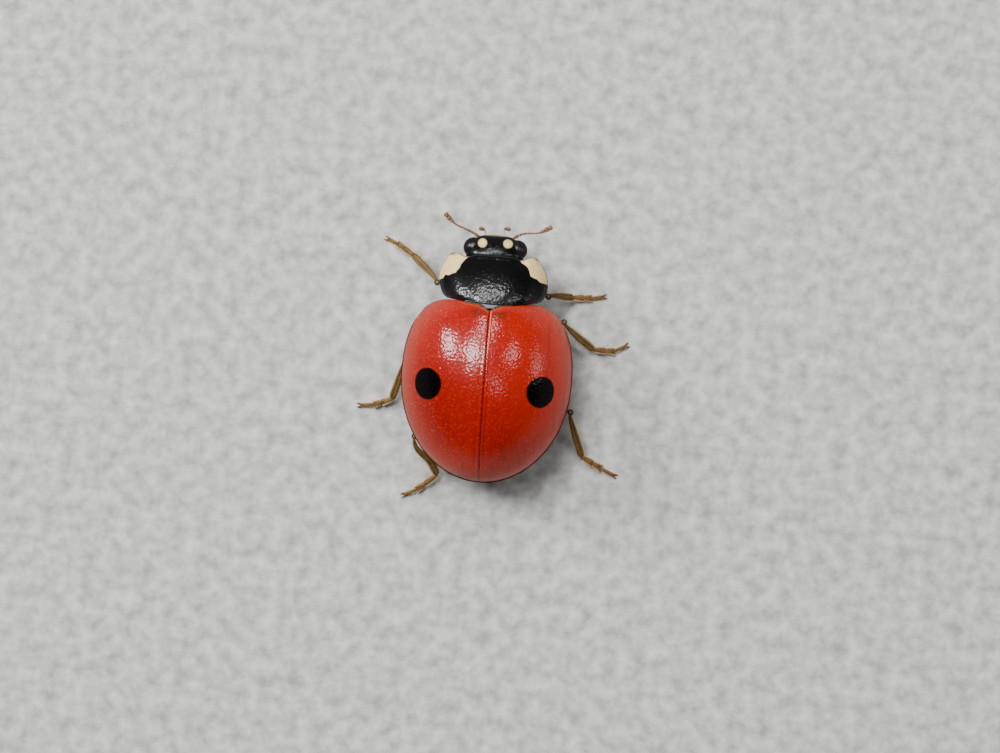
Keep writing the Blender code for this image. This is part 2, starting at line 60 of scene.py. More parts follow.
# %% [markdown]
# ## Units and axes
# Many tools in Blender merge points closer than a tenth of a millimetre, which is far too coarse
# here. So every piece is modelled with one unit for a millimetre and made a thousand times
# smaller when it is finished.
#
# The pieces are drawn in the animal's own axes: x = 0 is the seam between the wing cases, the
# head points to -y, and z = 0 is the floor. BODY carries them to their place in the frame.

# %% units and axes
MM = 0.001


def box_mm(node):
    low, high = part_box(node)
    return low / MM, high / MM


wing_low, wing_high = box_mm("elytron_left")
other_low, other_high = box_mm("elytron_right")
shield_low, shield_high = box_mm("pronotum")
SHIELD_FRONT_Y = -3.00  # the shield's front edge, which fixes where y = 0 is
BODY = Vector(((wing_low.x + other_high.x) / 2, shield_low.y - SHIELD_FRONT_Y, 0.0))
DOME_TOP = wing_high.z - 0.008  # the seam's fine strips rise a little over the dome
RIM_Z = wing_low.z
print("axis of the body in the frame, mm:", [round(c, 3) for c in BODY], "dome top", round(DOME_TOP, 3))

# %% [markdown]
# ## Small helpers
# A new primitive is selected and active. The helpers below name it, change it in edit mode,
# apply its modifiers, and at last hand it over to the frame. Everything is deselected before a
# primitive is added, because the loaded solids are still selected and would change with it.

# %% helpers for objects


def deselect():
    if bpy.context.object and bpy.context.object.mode != "OBJECT":
        bpy.ops.object.mode_set(mode="OBJECT")
    bpy.ops.object.select_all(action="DESELECT")


def only(ob):
    deselect()
    ob.select_set(True)
    bpy.context.view_layer.objects.active = ob


def named(name):
    """Names the primitive that was just added."""
    ob = bpy.context.active_object
    ob.name = ob.data.name = name
    return ob


class editing:
    """Edit mode on one object, for the lines of a with block. Selects all, or nothing."""

    def __init__(self, ob, action="SELECT"):
        only(ob)
        bpy.ops.object.mode_set(mode="EDIT")
        bpy.ops.mesh.select_all(action=action)

    def __enter__(self):
        return self

    def __exit__(self, *problem):
        bpy.ops.object.mode_set(mode="OBJECT")


def reshape(ob, rule):
    """Moves every vertex of a base mesh to where the rule puts it."""
    for v in ob.data.vertices:
        v.co = rule(v.co)
    ob.data.update()


def modifier(ob, kind, **settings):
    """Adds one modifier, sets it and applies it."""
    only(ob)
    added = ob.modifiers.new(kind.lower(), kind)
    for key, value in settings.items():
        setattr(added, key, value)
    bpy.ops.object.modifier_apply(modifier=added.name)


def face_out(ob, plate=False):
    """Makes the faces agree. An open plate is also turned so that its highest face looks up."""
    with editing(ob):
        bpy.ops.mesh.normals_make_consistent(inside=False)
    if plate and max(ob.data.polygons, key=lambda p: p.center.z).normal.z < 0:
        ob.data.flip_normals()


def fold_under(centre, steps):
    """Extrudes the selected edge again and again: narrower in x and y, and up by the lift."""
    for narrow_x, narrow_y, lift in steps:
        bpy.ops.mesh.extrude_region_move()
        bpy.ops.transform.resize(value=(narrow_x, narrow_y, 1.0), center_override=centre)
        bpy.ops.transform.translate(value=(0, 0, lift))


def copy_of(ob, name):
    twin = ob.copy()
    twin.data = ob.data.copy()
    twin.name = name
    twin.hide_render = False
    bpy.context.collection.objects.link(twin)
    return twin


def mirrored(ob, name):
    twin = copy_of(ob, name)
    with editing(twin):
        bpy.ops.transform.resize(value=(-1, 1, 1), center_override=(0, 0, 0))
        bpy.ops.mesh.flip_normals()
    return twin


def joined(pieces, name):
    deselect()
    for piece in pieces:
        piece.select_set(True)
    bpy.context.view_layer.objects.active = pieces[0]
    bpy.ops.object.join()
    return named(name)


made = []
SHARP_ANGLE = math.radians(50)


def hand_over(ob, material, slot, *nodes):
    """Carries a piece from the animal's millimetres to the frame and lets it ride there."""
    ob.data.transform(Matrix.Scale(MM, 4) @ Matrix.Translation(BODY))
    ob.data.materials.clear()
    ob.data.materials.append(material)
    only(ob)
    bpy.ops.object.shade_smooth_by_angle(angle=SHARP_ANGLE)
    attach(ob, "root")
    if nodes:
        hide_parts(*nodes)
    triangles = sum(len(p.vertices) - 2 for p in ob.data.polygons)
    made.append(triangles)
    print(f"{ob.name}: {triangles} triangles, stands for {', '.join(nodes) or 'nothing'}")


# %% helpers for numbers


def clamp(value, low=0.0, high=1.0):
    return min(high, max(low, value))


def ramp(value, start, end):
    """0 before start, 1 after end, and an easy curve between."""
    share = clamp((value - start) / (end - start))
    return share * share * (3 - 2 * share)


def hump(value, middle, width):
    """1 at the middle, falling to 0 at width on either side."""
    return ramp(abs(value - middle), width, 0.0)


def bell(value, middle, width):
    """1 at the middle, falling on either side without an end."""
    return math.exp(-((value - middle) / width) ** 2)


def signed_power(value, power):
    return math.copysign(abs(value) ** power, value)


# %% [markdown]
# ## Node trees
# A colour or a relief is worked out by a tree of nodes. The two classes below keep such a tree
# short to write: every output is a Value, and a sign between two values adds one math node, so
# `spots * 0.65` is a Multiply node and `dots | line` is a Maximum node, which joins two masks.

# %% helpers for node trees


class Value:
    """An output of a node in a graph."""

    def __init__(self, graph, socket):
        self.graph, self.socket = graph, socket

    def sign(operation, swapped=False):
        def add_node(self, other=None):
            return self.graph.math(operation, *((other, self) if swapped else (self, other)))
        return add_node

    __add__, __sub__, __mul__, __truediv__ = map(sign, ("ADD", "SUBTRACT", "MULTIPLY", "DIVIDE"))
    __pow__, __or__, __lt__, __abs__ = map(sign, ("POWER", "MAXIMUM", "LESS_THAN", "ABSOLUTE"))
    __rsub__, __rtruediv__ = sign("SUBTRACT", True), sign("DIVIDE", True)

    def also(self, output):
        """Another output of the same node."""
        return Value(self.graph, self.socket.node.outputs[output])

    def step(self, start, end, low=0.0, high=1.0, curve="SMOOTHSTEP"):
        """Goes from low at start to high at end, easily or in a straight line."""
        return self.graph.node("MapRange", {
            "Value": self, "From Min": start, "From Max": end, "To Min": low, "To Max": high},
            "Result", interpolation_type=curve)


class Graph:
    """A node tree: adds nodes, feeds them and lays them out in columns."""

    def __init__(self, tree):
        self.tree = tree
        self.column = -1800

    def feed(self, socket, value):
        """Links a value to a socket, or sets the socket to a number, a vector or a colour."""
        if isinstance(value, Value):
            self.tree.links.new(value.socket, socket)
        elif socket.type == "RGBA" and len(value) == 3:
            socket.default_value = (*value, 1.0)
        else:
            socket.default_value = value

    def node(self, kind, inputs, output=0, **settings):
        """Adds a node with its settings, feeds its inputs and gives one of its outputs."""
        added = self.tree.nodes.new("ShaderNode" + kind)
        self.column += 40
        added.location = (self.column, 300 - 60 * (len(self.tree.nodes) % 9))
        for key, value in settings.items():
            setattr(added, key, value)
        for label, value in inputs.items():
            self.feed(added.inputs[label], value)
        return Value(self, added.outputs[output])

    def math(self, operation, first, second=None, kind="Math", output=0):
        inputs = {0: first} if second is None else {0: first, 1: second}
        return self.node(kind, inputs, output, operation=operation)

    def vector(self, operation, first, second=None, output="Vector"):
        return self.math(operation, first, second, "VectorMath", output)

    def mix(self, share, first, second):
        return self.node("Mix", {"Factor": share, "A": first, "B": second}, "Result", data_type="RGBA")

    def noise(self, place, scale, detail=2.0, roughness=0.5):
        return self.node("TexNoise", {
            "Vector": place, "Scale": scale, "Detail": detail, "Roughness": roughness}, "Fac")

    def cells(self, place, scale, feature="F1", randomness=1.0):
        return self.node("TexVoronoi", {
            "Vector": place, "Scale": scale, "Randomness": randomness}, "Distance", feature=feature)

    def mapped(self, place, **changes):
        inputs = {name.capitalize(): value for name, value in changes.items()}
        return self.node("Mapping", {"Vector": place, **inputs}, "Vector")

    def parts(self, vector):
        whole = self.node("SeparateXYZ", {0: vector})
        return [whole.also(axis) for axis in "XYZ"]

    def group(self, tree, **values):
        inputs = {name.capitalize(): value for name, value in values.items()}
        return self.node("Group", inputs, node_tree=tree)


# %% [markdown]
# ## Effects that several finishes share
# Every finish below is made of a few effects: where a point lies on the body, round spots, fine
# pits, soft waves and pale dust. Each effect is a node group that is built once. A group only
# puts out a place, a mask or a height. The shader stays in the material itself.

# %% the shared effects
ORIGIN = (0.0, 0.0, 0.0)


def new_group(name, output, **inputs):
    """An empty group with one output; gives its graph, its inputs and the socket to feed."""
    tree = bpy.data.node_groups.new(name, "ShaderNodeTree")
    for label, default in inputs.items():
        kind = "NodeSocketVector" if isinstance(default, tuple) else "NodeSocketFloat"
        tree.interface.new_socket(label, in_out="INPUT", socket_type=kind).default_value = default
    kind = "NodeSocketVector" if output == "Place" else "NodeSocketFloat"
    tree.interface.new_socket(output, in_out="OUTPUT", socket_type=kind)
    graph = Graph(tree)
    given = tree.nodes.new("NodeGroupInput").outputs
    return (graph, [Value(graph, given[label]) for label in inputs],
            tree.nodes.new("NodeGroupOutput").inputs[0])


# A material reads Object coordinates, which are metres in the frame. This group turns them into
# millimetres in the animal's own axes, so a spot can be named by its real place.
g, _, out = new_group("body_place", "Place")
g.feed(out, g.mapped(g.node("TexCoord", {}, "Object"), location=-BODY, scale=(1 / MM, 1 / MM, 1 / MM)))
BODY_PLACE = g.tree

# A round spot: 1 inside, 0 outside, with an edge that wavers a little.
g, (place, centre, shape, radius, softness, waver), out = new_group(
    "round_spot", "Mask", Place=ORIGIN, Centre=ORIGIN, Shape=(1.0, 1.0, 1.0),
    Radius=0.4, Softness=0.03, Waver=0.02)
shaped = g.vector("MULTIPLY", g.vector("SUBTRACT", place, centre), shape)
past_edge = g.vector("LENGTH", shaped, output="Value") + (g.noise(place, 4.0) - 0.5) * waver - radius
g.feed(out, past_edge.step(softness, softness * -1.0))
ROUND_SPOT = g.tree

# Fine pits, as the point of a pin would leave in wax.
g, (place, scale, width), out = new_group("fine_pits", "Height", Place=ORIGIN, Scale=20.0, Width=0.35)
g.feed(out, g.cells(place, scale, randomness=0.85).step(0.0, width))
FINE_PITS = g.tree

# Soft waves, which make the edge of a reflection ripple.
g, (place, scale, detail), out = new_group("soft_waves", "Height", Place=ORIGIN, Scale=6.0, Detail=2.0)
g.feed(out, g.noise(place, scale, detail))
SOFT_WAVES = g.tree

# Pale dust: few small specks, each with a size of its own.
g, (place, scale, width, amount), out = new_group(
    "pale_dust", "Mask", Place=ORIGIN, Scale=9.0, Width=0.10, Amount=0.3)
cell = g.cells(place, scale)
g.feed(out, cell.step(width, 0.0) * (g.parts(cell.also("Color"))[0] < amount))
PALE_DUST = g.tree
print("shared effects:", len(bpy.data.node_groups))

# %% helper for materials


class Finish(Graph):
    """A material: a shader with its constants, a colour painted in layers, and a relief."""

    def __init__(self, name, colour, **constants):
        self.material = bpy.data.materials.new(name)
        self.material.use_nodes = True
        super().__init__(self.material.node_tree)
        self.sockets = {s.name.lower().replace(" ", "_"): s
                        for s in self.tree.nodes["Principled BSDF"].inputs}
        self.set(**constants)
        self.place = self.group(BODY_PLACE)
        self.colour = colour

    def set(self, **values):
        """Feeds the shader's sockets, written in small letters with low lines."""
        for name, value in values.items():
            self.feed(self.sockets[name], value)

    def paint(self, mask, colour):
        """Lays a colour over the one painted so far, where the mask says so."""
        self.colour = self.mix(mask, self.colour, colour)

    def spot(self, centre, **values):
        return self.group(ROUND_SPOT, place=self.place, centre=centre, **values)

    def pits(self, scale, width):
        return self.group(FINE_PITS, place=self.place, scale=scale, width=width)

    def waves(self, scale, detail):
        return self.group(SOFT_WAVES, place=self.place, scale=scale, detail=detail)

    def done(self, *layers, **values):
        """Feeds the colour, the relief's layers, each (height, depth in metres), and the rest."""
        normal = None
        for height, depth in layers:
            inputs = {"Distance": depth, "Height": height}
            if normal:
                inputs["Normal"] = normal
            normal = self.node("Bump", inputs, "Normal")
        if normal:
            values["normal"] = normal
        self.set(base_color=self.colour, **values)
        return self.material

# %% [markdown]
# ## Camera, floor and light
# The camera hangs over the animal and looks straight down, with a hair of tilt. A long lens from
# eighteen centimetres keeps the outline of the body nearly free of perspective, as a macro lens
# does. The head points up in the frame and leans four degrees to the right.

# %% the camera
FRAME_WIDTH = 25.83  # millimetres seen from left to right at the height of the body's rim
CAMERA_REACH = 180.0
SENSOR = 36.0
LEAN = math.radians(4.0)  # the body's axis turned in the frame
TILT = math.radians(1.5)  # the camera stands a little to the animal's right
AIM = BODY + Vector((-0.348, 0.092, 1.2))
UP = Vector((0, 0, 1))

frame_right = Vector((-math.cos(LEAN), -math.sin(LEAN), 0.0))
frame_up = Vector((math.sin(LEAN), -math.cos(LEAN), 0.0))
frame_back = frame_right * math.sin(TILT) + UP * math.cos(TILT)
right_tilted = frame_right * math.cos(TILT) - UP * math.sin(TILT)

deselect()
bpy.ops.object.camera_add(location=(AIM + frame_back * CAMERA_REACH) * MM)
camera = named("camera")
camera.rotation_euler = Matrix((right_tilted, frame_up, frame_back)).transposed().to_euler()
camera.data.sensor_width = SENSOR
camera.data.lens = SENSOR * CAMERA_REACH / FRAME_WIDTH
camera.data.clip_start = 0.0005
camera.data.clip_end = 5.0
bpy.context.scene.camera = camera
print("lens, mm:", round(camera.data.lens, 1))

# %% [markdown]
# The light comes from several small round lamps in front of the head and one broad soft window.
# On a shell as glossy as a wing case each lamp shows as a soft round spot, so the lamps stand
# where a mirror at the right place on the dome would show them. Their size is an angle: a disk of
# about twenty degrees gives a spot of less than half a millimetre.

# %% lamps and window
LAMP_REACH = 0.15  # metres
COOL = (0.97, 0.98, 1.0)
SPOT_LAMPS = [  # direction, width, height, power
    ((0.758, -0.368, 0.535), 0.030, 0.062, 0.155),
    ((0.325, -0.330, 0.880), 0.040, 0.050, 0.172),
    ((0.055, -0.700, 0.712), 0.055, 0.034, 0.070),
    ((-0.532, -0.334, 0.780), 0.034, 0.040, 0.028),
    ((-0.905, -0.150, 0.300), 0.046, 0.040, 0.017),
    ((-0.281, 0.097, 0.955), 0.026, 0.034, 0.012),
]


def light_from(kind, name, direction, power, location):
    """A light that looks from that direction at the animal."""
    deselect()
    bpy.ops.object.light_add(type=kind, location=location)
    light = named(name)
    light.data.energy = power
    light.rotation_euler = direction.to_track_quat("Z", "Y").to_euler()
    return light


for number, (direction, width, height, power) in enumerate(SPOT_LAMPS, start=1):
    direction = Vector(direction).normalized()
    lamp = light_from("AREA", f"lamp_{number}", direction, power, direction * LAMP_REACH)
    lamp.data.shape = "ELLIPSE"
    lamp.data.size, lamp.data.size_y = width, height
    lamp.visible_camera = False

window = light_from("SUN", "window_light", Vector((0.24, -0.36, 0.90)), 0.60, (0, 0, 0.3))
window.data.angle = math.radians(40)
window.data.color = COOL
print("lamps:", len(SPOT_LAMPS), "and one window")

# %% the soft room light, brightest near the horizon
world = bpy.data.worlds.new("studio")
bpy.context.scene.world = world
world.use_nodes = True
g = Graph(world.node_tree)
upward = g.parts(g.node("TexCoord", {}, "Generated"))[2]
room_light = g.tree.nodes["Background"].inputs
g.feed(room_light["Color"], COOL)
g.feed(room_light["Strength"], upward.step(0.0, 0.35, 0.32, 0.012) * upward.step(-0.30, 0.0, 0.65, 1.0))

# %% the floor
deselect()
bpy.ops.mesh.primitive_plane_add(size=8.0, location=(0, 0, 0))
floor = named("floor")
floor.visible_glossy = False  # a mat floor, whose image in the shell is only a soft grey
floor_material = bpy.data.materials.new("pale_floor")
floor_material.use_nodes = True
g = Graph(floor_material.node_tree)
cloud = g.noise(g.node("TexCoord", {}, "Object"), 2700.0, detail=4.0)
shader_sockets = g.tree.nodes["Principled BSDF"].inputs
for label, value in (
        ("Base Color", g.mix(cloud.step(0.28, 0.72, curve="LINEAR"),
                             (0.360, 0.362, 0.346), (0.740, 0.744, 0.712))),
        ("Roughness", 0.9), ("Specular IOR Level", 0.1)):
    g.feed(shader_sockets[label], value)
floor.data.materials.append(floor_material)

# %% [markdown]
# ## The wing cases
# The wing cases are two halves of one dome. Seen from above the dome is half an ellipse behind
# its widest place, and a little fuller than an ellipse in front. Seen from the side it is half an
# ellipse too. A narrow flat border runs round it like the brim of a hat, and under the border
# each case folds inwards as a strip, where the body fits against it.
#
# A flat grid is the start: its columns run from the brim to the seam and its rows from the front
# edge to the rear tip. Each point is moved onto the dome by the same formulas that made the
# solid, so the surface lies where the solid has it. Then the brim's edge is extruded inwards and
# the sheet gets a wall. The right case is a mirrored copy.

# %% the dome's sizes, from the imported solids
SEAM_GAP = 0.002  # from the seam's middle to each edge
WING_HALF = (wing_high.x - other_low.x) / 2 - SEAM_GAP
WING_TIP_Y = wing_high.y - BODY.y
FRONT_EDGE_Y = wing_low.y - BODY.y - 0.02
WIDEST_Y = 0.15
FRONT_REACH = 2.45  # from the widest place to where the sides would meet in front
FRONT_POWER = 2.38
REAR_REACH = WING_TIP_Y - WIDEST_Y
RIDGE_REACH = 2.75  # half length of the middle line in front of the widest place
RIM_RISE = 0.12  # the rim climbs by this much to the shoulder
BRIM = 0.036  # width of the flat border
BRIM_SHARE = 0.07  # share of the grid's columns that make the brim
NOTCH_Y, NOTCH_HALF = -1.57, 0.30  # the front edge at the seam, behind the small triangle
BESIDE_NOTCH_Y = -1.705  # the front edge beside it
SHOULDER_END_Y = -1.55  # where the round shoulder meets the side
SHOULDER_X, SHOULDER_WIDTH = 1.25, 0.50  # where it starts on the front edge, and how far it goes
FRONT_TURN = math.asin((SHOULDER_END_Y - WIDEST_Y) / FRONT_REACH)
print("wing cases, mm: half width", round(WING_HALF, 3), "tip", round(WING_TIP_Y, 3),
      "front edge", round(FRONT_EDGE_Y, 3))

# %% the dome's formulas


def outline_half(y, inset=0.0):
    """Half width over both wing cases at y, or of an outline that lies inset inside it."""
    if y >= WIDEST_Y:
        share, power = (y - WIDEST_Y) / (REAR_REACH - inset), 2.0
    else:
        share, power = (WIDEST_Y - y) / (FRONT_REACH - inset), FRONT_POWER
    return (WING_HALF - inset) * (1 - min(share, 1.0) ** power) ** (1 / power)


def rim_height(y):
    share = max(0.0, (WIDEST_Y - y) / (WIDEST_Y - FRONT_EDGE_Y))
    return RIM_Z + RIM_RISE * share ** 2


def ridge_height(y, inset=0.0):
    reach = (REAR_REACH if y >= WIDEST_Y else RIDGE_REACH) - inset
    share = min(1.0, abs(y - WIDEST_Y) / reach)
    return rim_height(y) + (DOME_TOP - inset - rim_height(y)) * math.sqrt(1 - share ** 2)


def front_edge(x):
    """The front margin: a notch for the small triangle, then nearly straight, then the shoulder."""
    if x < NOTCH_HALF:
        return NOTCH_Y + (BESIDE_NOTCH_Y - NOTCH_Y) * x / NOTCH_HALF
    if x < SHOULDER_X:
        return BESIDE_NOTCH_Y + (FRONT_EDGE_Y - BESIDE_NOTCH_Y) * ramp(x, 0.10, 1.15)
    return FRONT_EDGE_Y + (SHOULDER_END_Y - FRONT_EDGE_Y) * ((x - SHOULDER_X) / SHOULDER_WIDTH) ** 3


def brim_height(out):
    """Height over the rim at a share of the brim's width, 0 at its foot and 1 at its edge."""
    bead = 0.006 * math.sqrt(max(0.0, 1 - ((out - 0.70) / 0.30) ** 2)) if out > 0.40 else 0.0
    gutter = 0.030 * ramp(out, 0.60, 0.0)
    return 0.010 + bead + gutter


def seam_relief(x, y):
    """The seam's rolled edge and, in the rear half, a fine groove and a raised strip beside it."""
    rolled = -0.022 * max(0.0, 1 - x / 0.030) ** 2.0
    rear = ramp(y, -0.6, 0.8)
    groove = -0.010 * rear * bell(x, 0.115, 0.022)
    strip = 0.005 * rear * bell(x, 0.065, 0.03) + 0.006 * bell(x, 0.042, 0.016)
    return rolled + groove + strip


def on_dome(point):
    """Carries a grid point (u from brim to seam, v from front to tip) onto the dome."""
    u, v = point.x + 0.5, point.y + 0.5
    turn = FRONT_TURN + (math.pi / 2 - FRONT_TURN) * v
    y_row = WIDEST_Y + (REAR_REACH if turn > 0 else FRONT_REACH) * math.sin(turn)
    y_foot = WIDEST_Y + (y_row - WIDEST_Y) * (1 - BRIM / REAR_REACH if turn > 0 else 1.0)
    if u < BRIM_SHARE:
        out = (1 - u / BRIM_SHARE) * (0.15 + 0.85 * ramp(v, 0.0, 0.10))
        x_foot = outline_half(y_foot, BRIM) if v < 1 else 0.0
        x = x_foot + (outline_half(y_row) - x_foot) * out
        y = y_foot + (y_row - y_foot) * out
        return Vector((max(x, 0.0) + SEAM_GAP, y, rim_height(y) + brim_height(out)))
    up = (u - BRIM_SHARE) / (1 - BRIM_SHARE)
    turn_up = math.pi / 2 * (1 - (1 - up) ** 1.55)
    rough_x = outline_half(y_foot, BRIM) * math.cos(turn_up)
    y = y_foot + min(0.0, front_edge(rough_x) - SHOULDER_END_Y) * (1 - ramp(v, 0.0, 0.42))
    x = outline_half(y, BRIM) * math.cos(turn_up)
    foot = rim_height(y) + brim_height(0.0)
    z = foot + (ridge_height(y) - foot) * math.sin(turn_up)
    z += 0.030 * math.exp(-((x - 1.30) / 0.34) ** 2 - ((y + 1.22) / 0.30) ** 2)  # the shoulder's boss
    z -= 0.095 * (1 - ramp(v, 0.0, 0.040)) ** 2  # the front edge turns down
    z += seam_relief(x, y) * ramp(v, 0.0, 0.02)
    return Vector((x + SEAM_GAP, y, z))


# %% the left wing case, with the strip under its brim
deselect()
bpy.ops.mesh.primitive_grid_add(x_subdivisions=96, y_subdivisions=150, size=1.0)
wing = named("elytron_left_shell")
reshape(wing, on_dome)
with editing(wing):
    bpy.ops.mesh.remove_doubles(threshold=0.0004)
with editing(wing, "DESELECT"):
    bpy.ops.mesh.select_mode(type="EDGE")
    shell = bmesh.from_edit_mesh(wing.data)
    for edge in shell.edges:
        middle = (edge.verts[0].co + edge.verts[1].co) / 2
        on_side = abs(middle.x - SEAM_GAP - outline_half(middle.y)) < 0.02 or middle.y > WING_TIP_Y - 0.01
        edge.select = edge.is_boundary and on_side and middle.x > 0.02
    bmesh.update_edit_mesh(wing.data)
    fold_under((0.0, WIDEST_Y, 0.0), (
        (0.998, 0.999, -0.022), (0.985, 0.992, -0.008), (0.93, 0.975, 0.025), (0.90, 0.975, 0.040),
        (0.955, 0.99, 0.050)))
face_out(wing, plate=True)

# %% the right wing case is a mirrored copy, and both get a wall
WALL = 0.016
wing_right = mirrored(wing, "elytron_right_shell")
for case in (wing, wing_right):
    modifier(case, "SOLIDIFY", thickness=WALL, offset=-1.0)
print("each wing case has", len(wing.data.polygons), "faces")

# %% [markdown]
# The finish is a red lacquer with faults in it. The red deepens towards the tail, partly as the
# shell's own tone and partly as painted shade, and in random patches. Painted light makes the right
# side and the tail a lighter red, and painted shade deepens the left half from the middle back. One
# round black spot lies on the middle of each case. The front edge beside the small triangle is nearly
# orange, with dark brown patches behind it and a painted shadow along the edge under the shield.
# Towards the brim the red turns paler and pinker, which is painted light and a painted sheen, and the
# brim ends in a dark line. A painted highlight runs beside the seam at the front. Fine pale dust lies
# on the slopes.
#
# The relief is made of three sizes: soft swells, ripples that break up the lamps' reflections,
# and fine pits. A thin clear coat and a trace of sheen lie over it.

# %% the red of the wing cases
BRIGHT = (0.345, 0.0048, 0.0008)
DEEP = (0.265, 0.0038, 0.0008)
# Painted light and a painted sheen for the low slopes; the second, lighter one is for the shaded right
# side and tail.
SLOPE_LIGHT_AND_SHEEN = (0.480, 0.0300, 0.0100)
SHADED_SLOPE_LIGHT_AND_SHEEN = (0.920, 0.0820, 0.0220)
ORANGE = (0.80, 0.17, 0.035)
# Dark brown for patches beside the small triangle, and for a painted shadow along the front edge.
BROWN_AND_EDGE_SHADE = (0.10, 0.018, 0.006)
BLACK = (0.0012, 0.0012, 0.0012)
SPOT_RADIUS = 0.405
SPOT_SHAPE = (0.86, 1.0, 0.86)  # a little wider down the slope than along the body

red = Finish("wing_red", BRIGHT, specular_ior_level=0.38, coat_roughness=0.42, coat_ior=1.45,
             subsurface_weight=0.08, subsurface_scale=0.00012, subsurface_radius=(1.0, 0.25, 0.1),
             sheen_weight=0.12, sheen_roughness=0.35, sheen_tint=(1.0, 0.58, 0.44))
x, y, z = red.parts(red.place)
across = abs(x)
map_v = red.parts(red.node("UVMap", {}, uv_map="UVMap"))[1]  # from the front edge to the tip

# The red deepens towards the tail, partly the shell's own tone and partly painted shade, and in random
# patches.
to_tail = y.step(-0.6, 2.4)
red.paint(to_tail * 0.15 + red.noise(red.place, 1.6, detail=3.0) * 0.45, DEEP)
# Painted light: the right side and the tail, which the lamps light less, are painted a lighter red.
red.paint(x.step(0.4, -2.6, 0.0, 0.60) | y.step(1.2, 3.0, 0.0, 0.45), (0.74, 0.0200, 0.0036))
# Painted shade: the left half, from the middle back, is painted a deeper red where the lamps light it
# most.
red.paint(x.step(0.2, 1.2) * y.step(-0.7, 0.4) * 0.55, (0.215, 0.0028, 0.0006))
# Painted light and a painted sheen: the low slopes turn paler and pinker, most on the shaded right side
# and tail.
shaded = x.step(0.5, -1.5) | y.step(1.8, 3.0)
red.paint(z.step(2.6, 1.1) * 0.50, red.mix(shaded, SLOPE_LIGHT_AND_SHEEN, SHADED_SLOPE_LIGHT_AND_SHEEN))
streaks = red.noise(red.mapped(red.place, scale=(5.0, 0.45, 1.0)), 1.6, detail=3.0)
red.paint(streaks.step(0.50, 0.75, 0.0, 0.45), DEEP)

red.paint(map_v.step(0.026, 0.0) * across.step(1.1, 0.35) * 0.45, ORANGE)
# A painted shadow along the front edge, where it turns down under the shield; then dark brown patches
# beside the small triangle.
red.paint(map_v.step(0.008, 0.002, 0.0, 0.7), BROWN_AND_EDGE_SHADE)
for centre in ((0.33, -1.50, 0.0), (-0.29, -1.485, 0.0)):
    red.paint(red.spot(centre, shape=(0.8, 1.4, 0.0), radius=0.11, softness=0.09, waver=0.16) * 0.75,
              BROWN_AND_EDGE_SHADE)

past_widest = y - WIDEST_Y
wide, long = across / WING_HALF, past_widest / REAR_REACH | past_widest / -FRONT_REACH
power = past_widest.step(0.01, -0.01, 2.0, FRONT_POWER)
reach = (wide ** power + long ** power) ** (1.0 / power)  # 1 on the outline, 0 in the middle
# A painted sheen: the red turns pinker towards the outline.
red.paint(reach.step(0.70, 0.99, 0.0, 0.22), (0.80, 0.16, 0.10))
red.paint(across.step(0.036, 0.014) * 0.70, (0.16, 0.006, 0.004))
# A painted highlight: a pale line beside the seam at the front.
seam_highlight = abs(x + 0.047).step(0.018, 0.008) * (y.step(-0.30, -1.00) * y.step(-1.62, -1.45))
red.paint(seam_highlight * 0.60, (0.95, 0.42, 0.22))

red.paint(red.noise(red.place, 15.0, detail=2.0).step(0.50, 0.72) * 0.36, (0.62, 0.040, 0.012))
fine_dust, coarse_dust = (red.group(PALE_DUST, place=red.place, scale=scale, width=width, amount=amount)
                          for scale, width, amount in ((19.0, 0.24, 0.30), (12.0, 0.20, 0.22)))
red.paint((coarse_dust | fine_dust) * (z.step(3.0, 1.9) * 0.80 + 0.12), (0.85, 0.50, 0.40))

left_spot, right_spot = (
    red.spot(centre, shape=SPOT_SHAPE, radius=SPOT_RADIUS, softness=0.022, waver=0.035)
    for centre in ((1.46, 0.40, 2.58), (-1.45, 0.42, 2.58)))
spots = left_spot | right_spot
edge_line = reach.step(0.9895, 0.9935) * map_v.step(0.03, 0.10)
red.paint(edge_line, (0.050, 0.020, 0.016))
red.paint(spots, BLACK)
wing_red = red.done(
    (red.waves(3.5, 0.0), 6.0e-6), (red.waves(15.0, 0.0), 7.5e-6), (red.pits(9.0, 0.34), 3.0e-6),
    roughness=red.noise(red.place, 20.0, detail=1.0).step(0.35, 0.65, 0.11, 0.19),
    metallic=(spots | edge_line) * 0.65, coat_weight=spots.step(0.0, 1.0, 0.20, 0.03))

# %% both wing cases take their place
hand_over(wing, wing_red, "wing_case", "elytron_left")
hand_over(wing_right, wing_red, "wing_case", "elytron_right")

# %% [markdown]
# ## The shield and the small triangle
# The shield is one curved plate over the first ring of the body. It rises from the head to the
# wing cases and bends down at the sides, and its border is a fine raised bead. The front corners
# reach forward beside the head and end in small points. It starts as a flat grid too, whose
# columns crowd at the sides, so the bead has enough points. The border is then extruded inwards
# and makes the fold that shows from below.

# %% the shield's sizes
SHIELD_HALF = (shield_high.x - shield_low.x) / 2
SHIELD_SIDE_Z = 1.34  # height of the side border
SHIELD_FRONT_Z, SHIELD_BACK_Z = 1.86, shield_high.z
SHIELD_BACK_Y = -1.735
SHIELD_FRONT_HALF, SHIELD_BACK_HALF = 1.13, 1.12
SHIELD_WIDEST = 0.55
SHIELD_BOW = 0.10
print("shield, mm: half width", round(SHIELD_HALF, 3), "back height", round(SHIELD_BACK_Z, 3))


def shield_half_width(share):
    if share <= SHIELD_WIDEST:
        swell = math.sin(math.pi / 2 * share / SHIELD_WIDEST)
        return SHIELD_FRONT_HALF + (SHIELD_HALF - SHIELD_FRONT_HALF) * swell
    past = (share - SHIELD_WIDEST) / (1 - SHIELD_WIDEST)
    return SHIELD_BACK_HALF + (SHIELD_HALF - SHIELD_BACK_HALF) * math.sqrt(max(0.0, 1 - past ** 2))


